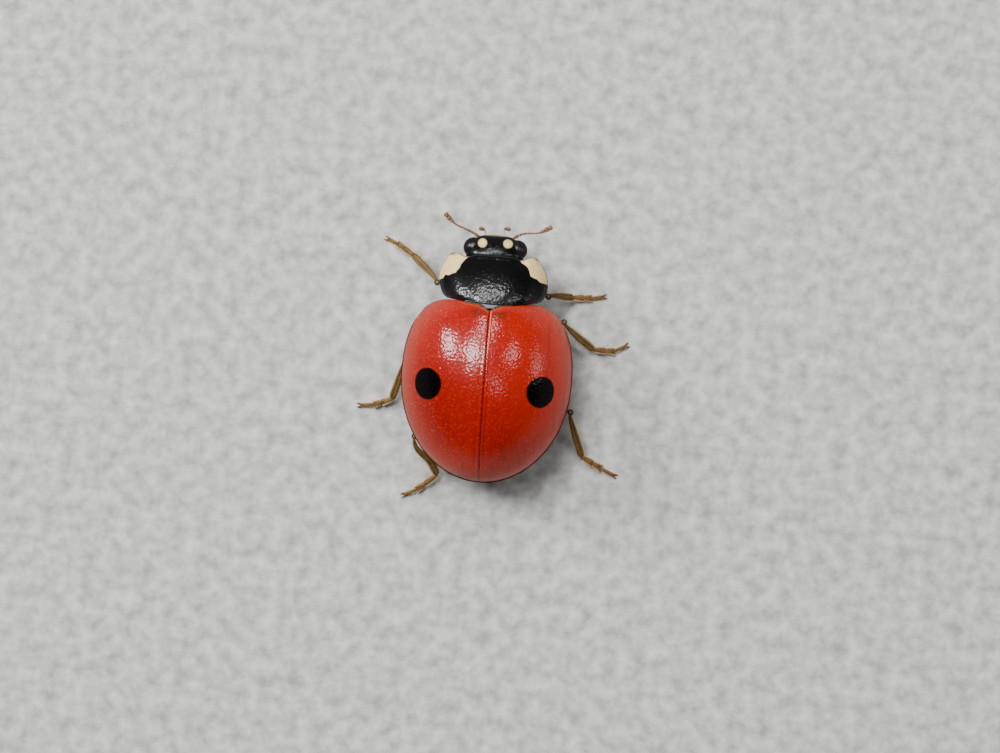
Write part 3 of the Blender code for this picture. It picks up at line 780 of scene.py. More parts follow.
def shield_place(share, across, sink=0.0):
    """A point of the shield: share from front to back, across from -1 to 1."""
    y = SHIELD_FRONT_Y + (SHIELD_BACK_Y - SHIELD_FRONT_Y) * share - SHIELD_BOW * across ** 2 * share
    middle = SHIELD_FRONT_Z + (SHIELD_BACK_Z - SHIELD_FRONT_Z) * (1 - (1 - share) ** 1.5)
    lift = (1 - min(1.0, abs(across)) ** 2.6) ** (1 / 1.8)
    z = SHIELD_SIDE_Z + (middle - SHIELD_SIDE_Z) * lift
    return Vector((shield_half_width(share) * across, y, z - sink))


def shield_surface(point):
    """Carries a grid point onto the shield and adds its border, corners and bosses."""
    across = math.sin(math.pi * point.x)
    share = 0.5 - 0.5 * math.cos(math.pi * (point.y + 0.5))
    place = shield_place(share, across)
    side = abs(across)
    place.z += 0.016 * ramp(side, 0.972, 0.985) - 0.008 * hump(side, 0.960, 0.02)
    place.z += ((0.010 * ramp(share, 0.975, 0.99) - 0.006 * hump(share, 0.962, 0.02))
                * ramp(side, 1.0, 0.9))
    place.z += 0.012 * hump(share, 0.045, 0.05) - 0.030 * ramp(share, 0.012, 0.0)
    front = ramp(share, 0.30, 0.0)
    place.y += 0.070 * front * hump(abs(place.x), 0.70, 0.25)  # a hollow for the eye
    place.y -= 0.022 * front * ramp(abs(place.x), 0.82, 1.02)
    tip = ramp(side, 0.90, 1.0) * ramp(share, 0.14, 0.0)
    place.y += 0.015 * tip
    place.x += math.copysign(0.010, across) * tip
    place.x += 0.035 * ramp(share, 0.35, 0.0) * ramp(-across, 0.6, 1.0) - 0.030 * ramp(share, 0.30, 0.85)
    place.z += 0.050 * math.exp(-((abs(place.x) - 1.00) / 0.22) ** 2 - ((place.y + 1.86) / 0.22) ** 2)
    return place


# %% the shield's plate
deselect()
bpy.ops.mesh.primitive_grid_add(x_subdivisions=120, y_subdivisions=72, size=1.0)
shield = named("pronotum_shell")
reshape(shield, shield_surface)
with editing(shield, "DESELECT"):
    bpy.ops.mesh.select_mode(type="EDGE")
    bpy.ops.mesh.select_non_manifold()
    fold_under((0.0, -2.42, 0.0), [(narrow, narrow, lift) for narrow, lift in (
        (0.998, -0.014), (0.992, -0.018), (0.96, -0.014), (0.88, -0.030), (0.88, -0.010))])
face_out(shield, plate=True)
modifier(shield, "SOLIDIFY", thickness=0.014, offset=-1.0)

# %% [markdown]
# The shield is black with cream corners. The border between the two colours is a bow: it starts
# beside the head, runs back and outwards, and then turns to the side border. Two simple masks
# make it, one round and one straight, and the cream shows only where both agree. The black is
# finely wrinkled, so a lamp over it breaks into many small glints.

# %% the black and cream of the shield
BOW_CENTRE = (0.16, -2.26, 0.0)
CREAM_LIGHT = (0.96, 0.73, 0.34)
CREAM_DEEP = (0.86, 0.60, 0.25)

black = Finish("shield_black_and_cream", (0.0010, 0.0010, 0.0012),
               specular_ior_level=0.50, coat_weight=0.20, coat_roughness=0.50)
x, y, z = black.parts(black.place)
across = abs(x + 0.03)
waver = (black.noise(black.place, 3.6, detail=1.0) - 0.5) * 0.15
flat_place = black.node("CombineXYZ", {"X": across, "Y": y})
outside_bow = (black.vector("DISTANCE", flat_place, BOW_CENTRE, "Value") + waver).step(0.822, 0.842)
turn_back = (across - 1.00) * 0.50 + -2.512
cream_mask = outside_bow * (y - turn_back + waver).step(0.010, -0.010)

cream = black.mix(black.noise(black.place, 6.0, detail=4.0).step(0.40, 0.75), CREAM_LIGHT, CREAM_DEEP)
brown_corner = y.step(-2.91, -2.97) * across.step(0.96, 1.10)
cream = black.mix(brown_corner * 0.75, cream, (0.20, 0.10, 0.045))
black.paint(cream_mask, cream)
map_u, map_v, _ = black.parts(black.node("UVMap", {}, uv_map="UVMap"))  # across, and front to back
black.paint(map_u.step(0.046, 0.030) | map_u.step(0.954, 0.970), (0.02, 0.012, 0.008))
# A painted highlight: a grey line along the front edge, where the bead would catch the light.
black.paint(map_v.step(0.110, 0.080, 0.0, 0.75), (0.060, 0.060, 0.056))
# A painted shadow: the rear edge is painted nearly black, as the gap to the wing cases looks.
rear_painted_shadow = map_v.step(0.885, 0.905)
black.paint(rear_painted_shadow, (0.0004, 0.0004, 0.0004))
dull = (y - across * 0.30).step(-2.20, -2.72) | across.step(1.08, 1.22) | rear_painted_shadow
shield_black = black.done(
    (black.waves(9.0, 2.0), 10.0e-6), (black.cells(black.place, 13.0, "SMOOTH_F1"), 10.0e-6),
    (black.pits(14.0, 0.36), 2.5e-6),
    roughness=cream_mask.step(0.0, 1.0, 0.22, 0.42), metallic=dull * (1.0 - cream_mask) * 0.70)
hand_over(shield, shield_black, "shell", "pronotum")

# %% the small triangle between the wing cases' bases
TRIANGLE_FRONT_Y, TRIANGLE_TIP_Y, TRIANGLE_HALF = -1.765, -1.600, 0.29
TRIANGLE_Z = SHIELD_BACK_Z - 0.040
deselect()
bpy.ops.mesh.primitive_circle_add(vertices=3, radius=1.0, fill_type="NGON", location=(0, 0, 0))
triangle = named("scutellum_plate")
corners = sorted(triangle.data.vertices, key=lambda v: v.co.x)
for corner, place in zip(corners, ((-TRIANGLE_HALF, TRIANGLE_FRONT_Y, 0), (0, TRIANGLE_TIP_Y, 0),
                                   (TRIANGLE_HALF, TRIANGLE_FRONT_Y, 0))):
    corner.co = place
with editing(triangle):
    bpy.ops.mesh.extrude_region_move(TRANSFORM_OT_translate={"value": (0, 0, 0.06)})
    bpy.ops.mesh.select_all(action="SELECT")
    bpy.ops.mesh.bevel(offset=0.014, segments=3, affect="EDGES")
    bpy.ops.mesh.select_all(action="SELECT")
    bpy.ops.mesh.quads_convert_to_tris()
    bpy.ops.mesh.subdivide(number_cuts=2)
reshape(triangle, lambda p: Vector((
    p.x, p.y, p.z + TRIANGLE_Z + 0.25 * (p.y - TRIANGLE_TIP_Y) - 0.12 * p.x ** 2)))
face_out(triangle)

plate_and_reflection = Finish("scutellum_grey", (0.008, 0.006, 0.006), specular_ior_level=0.25, roughness=0.45)
# A painted reflection: a pale grey patch on the dark plate, where its gloss would mirror a lamp.
pale = plate_and_reflection.spot((0.01, -1.715, 0.0), shape=(1.0, 3.0, 0.0), radius=0.215, softness=0.03, waver=0.05)
plate_and_reflection.paint(pale, (0.20, 0.19, 0.215))
hand_over(triangle, plate_and_reflection.done((plate_and_reflection.noise(plate_and_reflection.place, 30.0, detail=3.0), 1.0e-6)), "shell", "scutellum")

# %% [markdown]
# ## The head
# The head is a short broad capsule, tucked under the shield up to the eyes. Its brow is flat and
# leans forward, the eyes stand out at its sides like buttons, and below the brow a shelf carries
# the upper lip. Each feeler leaves from a small pit between the eye and the shelf.
#
# A sphere with its poles before and behind is the start. Its points are moved to give the flat
# brow and the shelf, and a hollow where each eye sits. The eyes are ico spheres, whose points lie
# evenly, so each point can carry the small lens of one facet.

# %% the head
HEAD = Vector((0.0, -2.960, 1.20))
HEAD_HALF, HEAD_HIGH = 0.74, 0.46
HEAD_FRONT, HEAD_BACK = 0.575, 0.32  # how far it reaches before and behind its middle
EYE = Vector((0.560, -3.190, 1.20))
EYE_RADII = Vector((0.266, 0.262, 0.31))
SOCKET = 0.96  # share of the eye's radii inside which the head gives way to it


def round_form(name, segments, rings, rule):
    """A sphere with its poles on y, shaped by a rule for its points."""
    deselect()
    bpy.ops.mesh.primitive_uv_sphere_add(segments=segments, ring_count=rings, radius=1.0,
                                         rotation=(math.pi / 2, 0, 0))
    ob = named(name)
    bpy.ops.object.transform_apply(rotation=True)
    reshape(ob, rule)
    return ob


def head_surface(unit):
    """The capsule: broad, flat on top, narrower towards the mouth, with sockets and a shelf."""
    x, y, z = unit
    deep = y * (1 + 0.25 * x * x) if y < 0 else signed_power(y, 0.86)
    place = Vector((HEAD_HALF * signed_power(x, 0.75), (HEAD_FRONT if y < 0 else HEAD_BACK) * deep,
                    HEAD_HIGH * signed_power(z, 0.98)))
    place.x *= 1 - 0.26 * ramp(-z, 0.0, 1.0)
    if y < 0:
        place.y -= 0.02 * ramp(-z, -0.3, 0.9)
        place.z += 0.015 * (hump(x, 0.0, 0.55) * ramp(-y, 0.1, 0.8))
    place.y -= 0.018 * (ramp(-y, 0.55, 0.95) * hump(z, -0.30, 0.35) * ramp(abs(x), 0.55, 0.35))  # shelf
    place.y += 0.04 * (hump(abs(x), 0.60, 0.12) * ramp(-y, 0.45, 0.8) * hump(z, -0.1, 0.3))  # feeler pit
    place.z += 0.25 * (place.y + 0.34)  # the brow leans forward
    place.z -= 0.08 * ramp(place.y, -0.13, 0.13) * ramp(z, 0.2, 0.6)  # and the neck drops behind it
    place += HEAD
    for side in (-1, 1):
        away = place - Vector((side * EYE.x, EYE.y, EYE.z))
        reach = Vector([a / radius for a, radius in zip(away, EYE_RADII)]).length
        if reach < SOCKET:
            place -= Vector((side, 0, 0)) * 0.08 * (SOCKET - reach)
    return place


head = round_form("head_capsule", 128, 96, head_surface)
face_out(head)

# %% [markdown]
# The head is black and polished. Two round cream dots lie on the brow beside the eyes, and the
# shelf's edge is pale brown, because the plate is thin there.

# %% the black of the head with its two dots
black = Finish("head_black", (0.0012, 0.0015, 0.0018), specular_ior_level=0.42)
x, y, z = black.parts(black.place)
left_dot, right_dot = (black.spot(centre, shape=(1, 1, 0.25), radius=0.112, softness=0.030, waver=0.03)
                       for centre in ((0.334, -3.317, 1.56), (-0.326, -3.338, 1.56)))
dots = left_dot | right_dot
black.paint(dots, black.mix(black.noise(black.place, 16.0, detail=3.0),
                            (0.95, 0.71, 0.32), (0.84, 0.59, 0.24)))
low_front = z.step(1.35, 1.27) * z.step(1.08, 1.15) * y.step(-3.50, -3.53)
black.paint(low_front * abs(x).step(0.36, 0.24) * 0.85, (0.42, 0.22, 0.10))
head_black = black.done((black.waves(12.0, 2.0), 8.0e-6), (black.pits(24.0, 0.38), 2.4e-6),
                        roughness=dots.step(0.0, 1.0, 0.25, 0.42))
hand_over(head, head_black, "shell", "head")

# %% the facets of the eyes
FACET_RADIUS = 0.085
FACET_BULGE = 0.012


def ico_sphere(name, level):
    deselect()
    bpy.ops.mesh.primitive_ico_sphere_add(subdivisions=level, radius=1.0)
    return named(name)


facets = ico_sphere("facet_middles", 4)
nearest = KDTree(len(facets.data.vertices))
for number, vertex in enumerate(facets.data.vertices):
    nearest.insert(vertex.co.normalized(), number)
nearest.balance()
bpy.data.objects.remove(facets, do_unlink=True)


def faceted(point):
    unit = point.normalized()
    apart = nearest.find(unit)[2]
    bulge = FACET_BULGE * (1 - min(1.0, apart / FACET_RADIUS) ** 2)
    return Vector([c * r for c, r in zip(unit * (1 + bulge), EYE_RADII)]) + EYE


eye = ico_sphere("eye_left_lens", 6)
reshape(eye, faceted)
eye_right = mirrored(eye, "eye_right_lens")

dark = Finish("eye_dark", None, roughness=0.30, specular_ior_level=0.55)
lens_cells = dark.cells(dark.place, 38.0)
dark.colour = dark.mix(dark.noise(dark.place, 5.0), (0.006, 0.007, 0.006), (0.016, 0.016, 0.012))
dark.paint(lens_cells.step(0.25, 0.60), (0.002, 0.002, 0.002))
eye_dark = dark.done((lens_cells, 1.0e-6))
hand_over(eye, eye_dark, "eye", "eye_left")
hand_over(eye_right, eye_dark, "eye", "eye_right")

# %% [markdown]
# ## Jointed parts
# Feelers, mouth feelers and legs are rows of short hard joints. Each kind of joint is modelled
# once, one unit long and lying along x: a circle is extruded from station to station, made wider
# or narrower on the way, and closed at both ends. Copies are then stretched between two points.

# %% helpers for joints
joint_forms = []


def joint_form(name, sides, *stations):
    """Grows a joint along x. A station is (x, half width, half height, sideways, up)."""
    stations = [(*station, 0, 0)[:5] for station in stations]
    deselect()
    bpy.ops.mesh.primitive_circle_add(vertices=sides, radius=1.0, fill_type="NOTHING",
                                      rotation=(0, math.pi / 2, 0))
    ob = named(name)
    bpy.ops.object.transform_apply(rotation=True)
    with editing(ob):
        x, wide, high, aside, up = stations[0]
        bpy.ops.transform.resize(value=(1, wide, high), center_override=(0, 0, 0))
        bpy.ops.transform.translate(value=(x, aside, up))
        for here, there in zip(stations, stations[1:]):
            bpy.ops.mesh.extrude_region_move()
            bpy.ops.transform.resize(value=(1, there[1] / here[1], there[2] / here[2]),
                                     center_override=(here[0], here[3], here[4]))
            bpy.ops.transform.translate(value=tuple(there[k] - here[k] for k in (0, 3, 4)))
        bpy.ops.mesh.select_all(action="SELECT")
        bpy.ops.mesh.fill_holes(sides=0)
    modifier(ob, "SUBSURF", levels=1, render_levels=1)
    face_out(ob)
    across = ob.data.attributes.new("across", "FLOAT", "POINT")  # -1 to 1 over the width
    for number, v in enumerate(ob.data.vertices):
        for here, there in zip(stations, stations[1:]):
            if v.co.x <= there[0]:
                break
        share = clamp((v.co.x - here[0]) / (there[0] - here[0]))
        wide, aside = (here[k] + (there[k] - here[k]) * share for k in (1, 3))
        across.data[number].value = clamp((v.co.y - aside) / wide, -1.0, 1.0)
    ob.hide_render = True
    joint_forms.append(ob)
    return ob


def axes_between(start, end):
    """The axes of a joint from start to end: along it, aside, and its top towards up."""
    along = (end - start).normalized()
    top = (UP - along * UP.dot(along)).normalized()
    return along, top.cross(along), top


def laid_between(ob, name, start, end, thick=1.0, flip=1):
    """A copy of a unit joint, stretched from start to end. flip -1 bends it to the other side."""
    twin = copy_of(ob, name)
    along, aside, top = axes_between(start, end)
    columns = Matrix((along * (end - start).length, aside * thick * flip, top * thick))
    twin.data.transform(Matrix.Translation(start) @ columns.transposed().to_4x4())
    if flip < 0:
        twin.data.flip_normals()
    return twin


def along_path(points, share):
    """A point on the smooth curve through the points, share 0 to 1 by length."""
    spans = [(b - a).length for a, b in zip(points, points[1:])]
    walk = share * sum(spans)
    for k, span in enumerate(spans):
        if walk <= span or k == len(spans) - 1:
            break
        walk -= span
    t = min(1.0, walk / spans[k])
    a, b = points[k], points[k + 1]
    before = points[k - 1] if k else a * 2 - b
    after = points[k + 2] if k + 2 < len(points) else b * 2 - a
    return 0.5 * ((2 * a) + (b - before) * t + (2 * before - 5 * a + 4 * b - after) * t ** 2
                  + (3 * a - before - 3 * b + after) * t ** 3)


# %% [markdown]
# ## Hairs
# Legs and feelers carry fine pale hairs that stand out at the edges and catch the light. Each hair
# is a slim four-sided spike of solid mesh, and all hairs of one limb are one mesh. A hair's patch
# in the map OFBake lies where its root lies on the unwrapped limb.

# %% helper for hairs
HAIR_PATCH = 0.003
HAIR_SIDES = 4


def hair_mesh(name, hairs):
    """Joins hairs, each (root, direction, length, radius, (u, v)), into one mesh with an OFBake map."""
    points, faces, patches = [], [], []
    for root, direction, length, radius, (u, v) in hairs:
        along = direction.normalized()
        side = along.orthogonal().normalized()
        other = along.cross(side)
        base = len(points)
        for turn in range(HAIR_SIDES):
            angle = 2 * math.pi * turn / HAIR_SIDES
            points.append(root - along * radius
                          + (side * math.cos(angle) + other * math.sin(angle)) * radius)
        points.append(root + along * length)
        a, b, c, d = [(u + HAIR_PATCH * (k & 1), v + HAIR_PATCH * (k >> 1)) for k in range(4)]
        for turn in range(HAIR_SIDES):
            faces.append((base + turn, base + (turn + 1) % HAIR_SIDES, base + HAIR_SIDES))
            patches.append((a, b, c))
        faces.append([base + turn for turn in reversed(range(HAIR_SIDES))])
        patches.append((a, b, d, c))
    mesh = bpy.data.meshes.new(name)
    mesh.from_pydata(points, [], faces)
    layer = mesh.uv_layers.new(name="OFBake")
    for polygon, patch in zip(mesh.polygons, patches):
        for loop, corner in zip(polygon.loop_indices, patch):
            layer.data[loop].uv = corner
    ob = bpy.data.objects.new(name, mesh)
    bpy.context.collection.objects.link(ob)
    face_out(ob)
    return ob


# %% [markdown]
# ## Finishes of the limbs
# The limbs are thin brown shell. It is paler where it is thin, at the edges and the joints, and
# darker along the middle. The feelers are more orange.

# %% finishes of limbs, feelers, hairs and skin


def limb_finish(name, light, middle, dark, rough=0.48, spine=0.0):
    """Brown shell: darker along the middle, lighter at the edges, with a pale line if spine is set."""
    brown = Finish(name, None, specular_ior_level=0.22)
    fine = brown.noise(brown.place, 32.0, detail=3.0)
    tone = brown.noise(brown.place, 7.0, detail=4.0, roughness=0.6) * 0.75 + fine * 0.25
    across = brown.node("Attribute", {}, "Fac", attribute_name="across")
    brown.colour = brown.mix(tone.step(0.34, 0.60), dark, middle)
    brown.paint(abs(across).step(0.45, 0.95) * 0.80, light)
    if spine:
        brown.paint(abs(across - 0.14).step(0.16, 0.04) * spine, light)
    return brown.done((fine, 1.2e-6), (brown.pits(26.0, 0.4), 1.2e-6),
                      roughness=tone.step(0.2, 0.8, rough - 0.08, rough + 0.10))


leg_brown = limb_finish("leg_brown", (0.29, 0.18, 0.065), (0.120, 0.072, 0.020), (0.060, 0.034, 0.010),
                        spine=0.45)
foot_brown = limb_finish("foot_brown", (0.38, 0.22, 0.080), (0.20, 0.105, 0.034), (0.09, 0.045, 0.013))
feeler_brown = limb_finish("feeler_brown", (0.36, 0.20, 0.11), (0.24, 0.12, 0.060), (0.13, 0.065, 0.032))
palp_brown = limb_finish("palp_brown", (0.34, 0.21, 0.12), (0.19, 0.11, 0.060), (0.10, 0.055, 0.030))
knee_dark = limb_finish("knee_dark", (0.16, 0.095, 0.036), (0.070, 0.042, 0.016), (0.03, 0.014, 0.005))
claw_horn = limb_finish("claw_horn", (0.45, 0.24, 0.10), (0.26, 0.12, 0.04), (0.12, 0.05, 0.015), 0.35)
joint_skin = limb_finish("joint_skin", (0.34, 0.28, 0.15), (0.26, 0.20, 0.10), (0.16, 0.12, 0.06), 0.55)
stalk_pale = limb_finish("stalk_pale", (0.58, 0.52, 0.44), (0.50, 0.42, 0.34), (0.42, 0.33, 0.25), 0.55)

pale = Finish("hair_pale", None, roughness=0.5)
pale.colour = pale.mix(pale.noise(pale.place, 6.0), (0.80, 0.64, 0.42), (0.62, 0.43, 0.24))
hair_pale = pale.done()

# %% the feelers: eight stem joints and a club of three
stem_joint = joint_form(
    "stem_joint", 10, (0.00, 0.45, 0.45), (0.06, 0.70, 0.70), (0.45, 0.82, 0.82), (0.85, 1.00, 1.00),
    (0.97, 0.80, 0.80), (1.00, 0.50, 0.50))
club_joint = joint_form(
    "club_joint", 12, (0.00, 0.55, 0.50), (0.10, 0.78, 0.68), (0.50, 0.98, 0.80), (0.85, 0.98, 0.80),
    (0.98, 0.80, 0.66), (1.03, 0.48, 0.42))

FEELER_ROOT_Z, FEELER_TIP_Z = 1.06, 1.16
FEELERS = {  # where each feeler runs, seen from above, and the seed of its hairs
    "left": ([(0.43, -3.47), (0.70, -3.615), (1.04, -3.74), (1.22, -3.88), (1.36, -4.02)], 11),
    "right": ([(-0.43, -3.49), (-0.690, -3.63), (-1.05, -3.665), (-1.23, -3.745), (-1.42, -3.855)], 12),
}
STEM_COUNT = 8
# how long and how thick the eleven joints are, from the head to the tip
JOINT_LENGTHS = [1.5, 0.9, 1.15, 0.85, 0.85, 0.75, 0.70, 0.62, 1.0, 0.95, 1.05]
JOINT_RADII = [0.052, 0.045, 0.038, 0.035, 0.034, 0.034, 0.035, 0.038, 0.056, 0.074, 0.072]

for side, (route, seed) in FEELERS.items():
    path = [Vector((*point, FEELER_ROOT_Z + (FEELER_TIP_Z - FEELER_ROOT_Z) * k / (len(route) - 1)))
            for k, point in enumerate(route)]
    whole, walked, joints, hairs = sum(JOINT_LENGTHS), 0.0, [], []
    draw = random.Random(seed)
    for number, (length, radius) in enumerate(zip(JOINT_LENGTHS, JOINT_RADII)):
        start = along_path(path, walked / whole)
        walked += length
        end = along_path(path, walked / whole)
        in_club = number >= STEM_COUNT
        joints.append(laid_between(club_joint if in_club else stem_joint, "part", start, end, radius))
        along, aside, top = axes_between(start, end)
        for _ in range(46 if in_club else 14):
            share, angle = draw.uniform(0.15, 0.98), draw.uniform(0, 2 * math.pi)
            out = aside * math.cos(angle) + top * math.sin(angle)
            root = start.lerp(end, share) + out * radius * 0.80
            hairs.append((root, along * 0.9 + out * 0.7, draw.uniform(0.022, 0.040), 0.0036,
                          ((number + share) / 12, angle / 6.3)))
    hand_over(joined(joints, f"antenna_{side}_joints"), feeler_brown, "feeler", f"antenna_{side}")
    hand_over(hair_mesh(f"antenna_{side}_hairs", hairs), hair_pale, "feeler")

# %% [markdown]
# ## The mouth
# From above only the ends of the two mouth feelers show, as small brown ovals in front of the
# head. Each has a thin stalk of three joints and ends in a broad joint like the blade of a
# hatchet. The upper lip closes the mouth from above, and a pair of short jaws lies under it.

# %% mouth feelers, lip and jaws
STALK_RADIUS, BLADE_RADIUS = 0.020, 0.056
LIP_CENTRE = (0, -3.515, 0.925)
blade_joint = joint_form(
    "blade_joint", 12, (0.00, 0.45, 0.40), (0.14, 0.78, 0.62, 0.05), (0.45, 1.00, 0.72, 0.12),
    (0.80, 0.98, 0.64, 0.18), (0.97, 0.76, 0.44, 0.18), (1.04, 0.44, 0.24, 0.18))
PALPS = {
    "left": ((0.27, -3.36, 0.86), (0.29, -3.46, 0.80), (0.29, -3.57, 0.79), (0.315, -3.675, 0.84),
             (0.470, -3.682, 0.86)),
    "right": ((-0.25, -3.36, 0.86), (-0.24, -3.47, 0.80), (-0.20, -3.60, 0.79), (-0.175, -3.740, 0.84),
              (-0.350, -3.705, 0.86)),
}
for side, points in PALPS.items():
    *stalk, tip = map(Vector, points)
    parts = [laid_between(stem_joint, "part", a, b, STALK_RADIUS) for a, b in zip(stalk, stalk[1:])]
    hand_over(joined(parts, f"palp_{side}_stalk"), stalk_pale, "feeler")
    blade = laid_between(blade_joint, f"palp_{side}_blade", stalk[-1], tip, BLADE_RADIUS,
                         flip=-1 if side == "left" else 1)
    hand_over(blade, palp_brown, "feeler", f"palp_{side}")

deselect()
bpy.ops.mesh.primitive_cube_add(size=1.0, location=LIP_CENTRE)
lip = named("labrum_plate")
with editing(lip):
    bpy.ops.transform.resize(value=(0.50, 0.10, 0.09), center_override=LIP_CENTRE)
    bpy.ops.mesh.bevel(offset=0.03, segments=3, affect="EDGES")
    bpy.ops.mesh.subdivide(number_cuts=3)
bpy.ops.object.transform_apply(location=True)
reshape(lip, lambda p: Vector((
    p.x, p.y + 0.9 * p.x ** 2 + 0.01 * hump(p.x, 0.0, 0.05), p.z - 0.4 * p.x ** 2)))
modifier(lip, "SUBSURF", levels=1, render_levels=1)
hand_over(lip, feeler_brown, "feeler", "labrum")

jaw_form = joint_form(
    "jaw_form", 12, (0.00, 0.075, 0.050), (0.25, 0.080, 0.050, 0.02), (0.60, 0.060, 0.038, 0.02),
    (0.85, 0.034, 0.024, -0.01), (1.00, 0.010, 0.010, -0.05))
for side, sign in (("left", 1), ("right", -1)):
    jaw = laid_between(jaw_form, f"mandible_{side}_hook", Vector((sign * 0.27, -3.30, 0.83)),
                       Vector((sign * 0.055, -3.525, 0.845)), flip=sign)
    hand_over(jaw, knee_dark, "feeler", f"mandible_{side}")

# %% [markdown]
# ## The body underneath
# Under its dome the ladybird is flat and dark. The first ring carries the front legs, the trunk
# carries the other four, and behind them lie six belly plates, each a little over the next like
# the boards of a boat. Each part is a round form whose points are moved: its upper side keeps
# inside the wing cases and its lower side follows the belly.

# %% the body's sizes
BELLY_Z, BELLY_RISE = 0.86, 0.10
CORE_GAP = 0.57  # the body is smaller than the wing cases by this much
FIRST_RING_Z, FIRST_RING_RISE = 0.86, 0.26
WAIST_Y = 0.34
PLATE_EDGES = [WAIST_Y, 0.98, 1.32, 1.62, 1.88, 2.12, 2.60]
HIPS = ((-0.88, 0.30), (0.26, 0.36))  # y and share of the half width of the trunk's hip joints
TINY = 1e-4


def dome_over(x, y):
    """The body's upper side, inside the wing cases."""
    level = math.sqrt(1 - min(1.0, abs(x) / max(outline_half(y, CORE_GAP), TINY)) ** 2)
    return rim_height(y) + (ridge_height(y, CORE_GAP) - rim_height(y)) * level


def body_part(name, start_y, end_y, half_at, top_at, low_at, bluntness=7.0, rings=110):
    """A closed form from start_y to end_y. half_at(y), top_at(x, y) and low_at(share, y) shape it."""
    def rule(unit):
        turn = math.acos(clamp(-unit.y, -1.0)) / math.pi
        y = start_y + (end_y - start_y) * turn
        ring = math.hypot(unit.x, unit.z) or 1.0
        close = max(0.0, 1 - abs(2 * turn - 1) ** bluntness) ** (1 / bluntness) if ring < 1.0 else 1.0
        across, up = unit.x / ring, unit.z / ring
        half = half_at(y)
        x = half * close * signed_power(across, 0.85)
        low = low_at(x / max(half, TINY), y)
        top = max(top_at(x, y), low + 0.02)
        middle = low + (top - low) * 0.35
        level = (top - middle) if up > 0 else (middle - low)
        return Vector((x, y, middle + level * signed_power(up, 0.55) * close))
    return round_form(name, 96, rings, rule)


def belly_plates(share, y):
    """Underside of the abdomen: every plate drops towards its hind edge, then steps back up."""
    drop = 0.0
    for first, last in zip(PLATE_EDGES, PLATE_EDGES[1:]):
        if y < last:
            along = max(0.0, (y - first) / (last - first))
            drop = 0.045 * along ** 1.5 * ramp(along, 1.0, 0.93)
            break
    keel = 0.10 * ramp(y, 2.0, 2.75)
    return BELLY_Z + BELLY_RISE * share ** 2 - drop + keel + 0.015 * hump(abs(share), 0.80, 0.10)


def trunk_under(share, y):
    """Underside of the trunk: a groove along the middle and hollows for the hip joints."""
    groove = 0.03 * hump(share, 0.0, 0.05) * ramp(y, -1.2, -0.9)
    seam = 0.02 * hump(y, -0.42, 0.05) + 0.02 * hump(y, -1.32, 0.04)
    bulge = -0.05 * hump(y, -0.05, 0.5) * hump(abs(share), 0.35, 0.5)
    hollow = max(0.07 * hump(y, hip_y, 0.22) * hump(abs(share), hip_share, 0.28)
                 for hip_y, hip_share in HIPS)
    return BELLY_Z + BELLY_RISE * share ** 2 + groove + seam + bulge + hollow


def ring_share(y):
    return clamp((y - SHIELD_FRONT_Y) / (SHIELD_BACK_Y - SHIELD_FRONT_Y))


def ring_top(x, y):
    return shield_place(ring_share(y), x / shield_half_width(ring_share(y)), 0.24).z


def ring_under(share, y):
    hollow = 0.08 * hump(y, -2.42, 0.22) * hump(abs(share), 0.22, 0.26)
    return FIRST_RING_Z + FIRST_RING_RISE * share ** 2 + hollow


trunk_front = box_mm("thorax")[0].y - BODY.y
ring_front, ring_back = (corner.y - BODY.y for corner in box_mm("prothorax"))
abdomen = body_part("abdomen_plates", WAIST_Y + 0.01, 2.56, lambda y: outline_half(y, 0.36),
                    dome_over, belly_plates, rings=150)
trunk = body_part("thorax_plates", trunk_front + 0.01, WAIST_Y, lambda y: outline_half(y, 0.40),
                  dome_over, trunk_under, bluntness=12.0)
first_ring = body_part("prothorax_plates", ring_front + 0.01, ring_back,
                       lambda y: shield_half_width(ring_share(y)) * 0.80,
                       ring_top, ring_under, bluntness=8.0, rings=80)

# %% [markdown]
# The belly is black going to dark brown at the edges of the plates, with fine pits and short
# grooves that run across, and it shines less than the shield.

# %% the belly's finish
dark = Finish("belly_dark", (0.010, 0.008, 0.007), coat_weight=0.15, coat_roughness=0.3)
side = abs(dark.parts(dark.place)[0]).step(1.1, 1.9)
grain = dark.noise(dark.mapped(dark.place, scale=(1.0, 3.0, 1.0)), 10.0, detail=4.0)
dark.paint(side * 0.7, (0.13, 0.050, 0.018))
dark.paint(grain.step(0.52, 0.78) * 0.5, (0.06, 0.030, 0.015))
belly_dark = dark.done((grain, 2.0e-6), (dark.pits(13.0, 0.34), 2.0e-6),
                       roughness=grain.step(0.3, 0.7, 0.32, 0.46))
for part, node in ((abdomen, "abdomen"), (trunk, "thorax"), (first_ring, "prothorax")):
    hand_over(part, belly_dark, "belly", node)

# %% [markdown]
# ## The legs
# Each leg has a hip joint, a thigh, a shin and a foot of three joints with two claws. The solids
# are twice as thick as life, so that a printed model stands. Here the true joints run along the
# same middle lines. The thigh ends in a knee that shows beside the wing case as a small dark ring
# round a pale ball. The shin is narrow at the knee and broad and flat towards the foot, and the
# foot's second joint has two lobes with a brush of hairs below.
#
# The joints' places are the solids' own, hip to toe. The cell after them checks each against the
# box of its solid, so a slip of the pen can't pass.

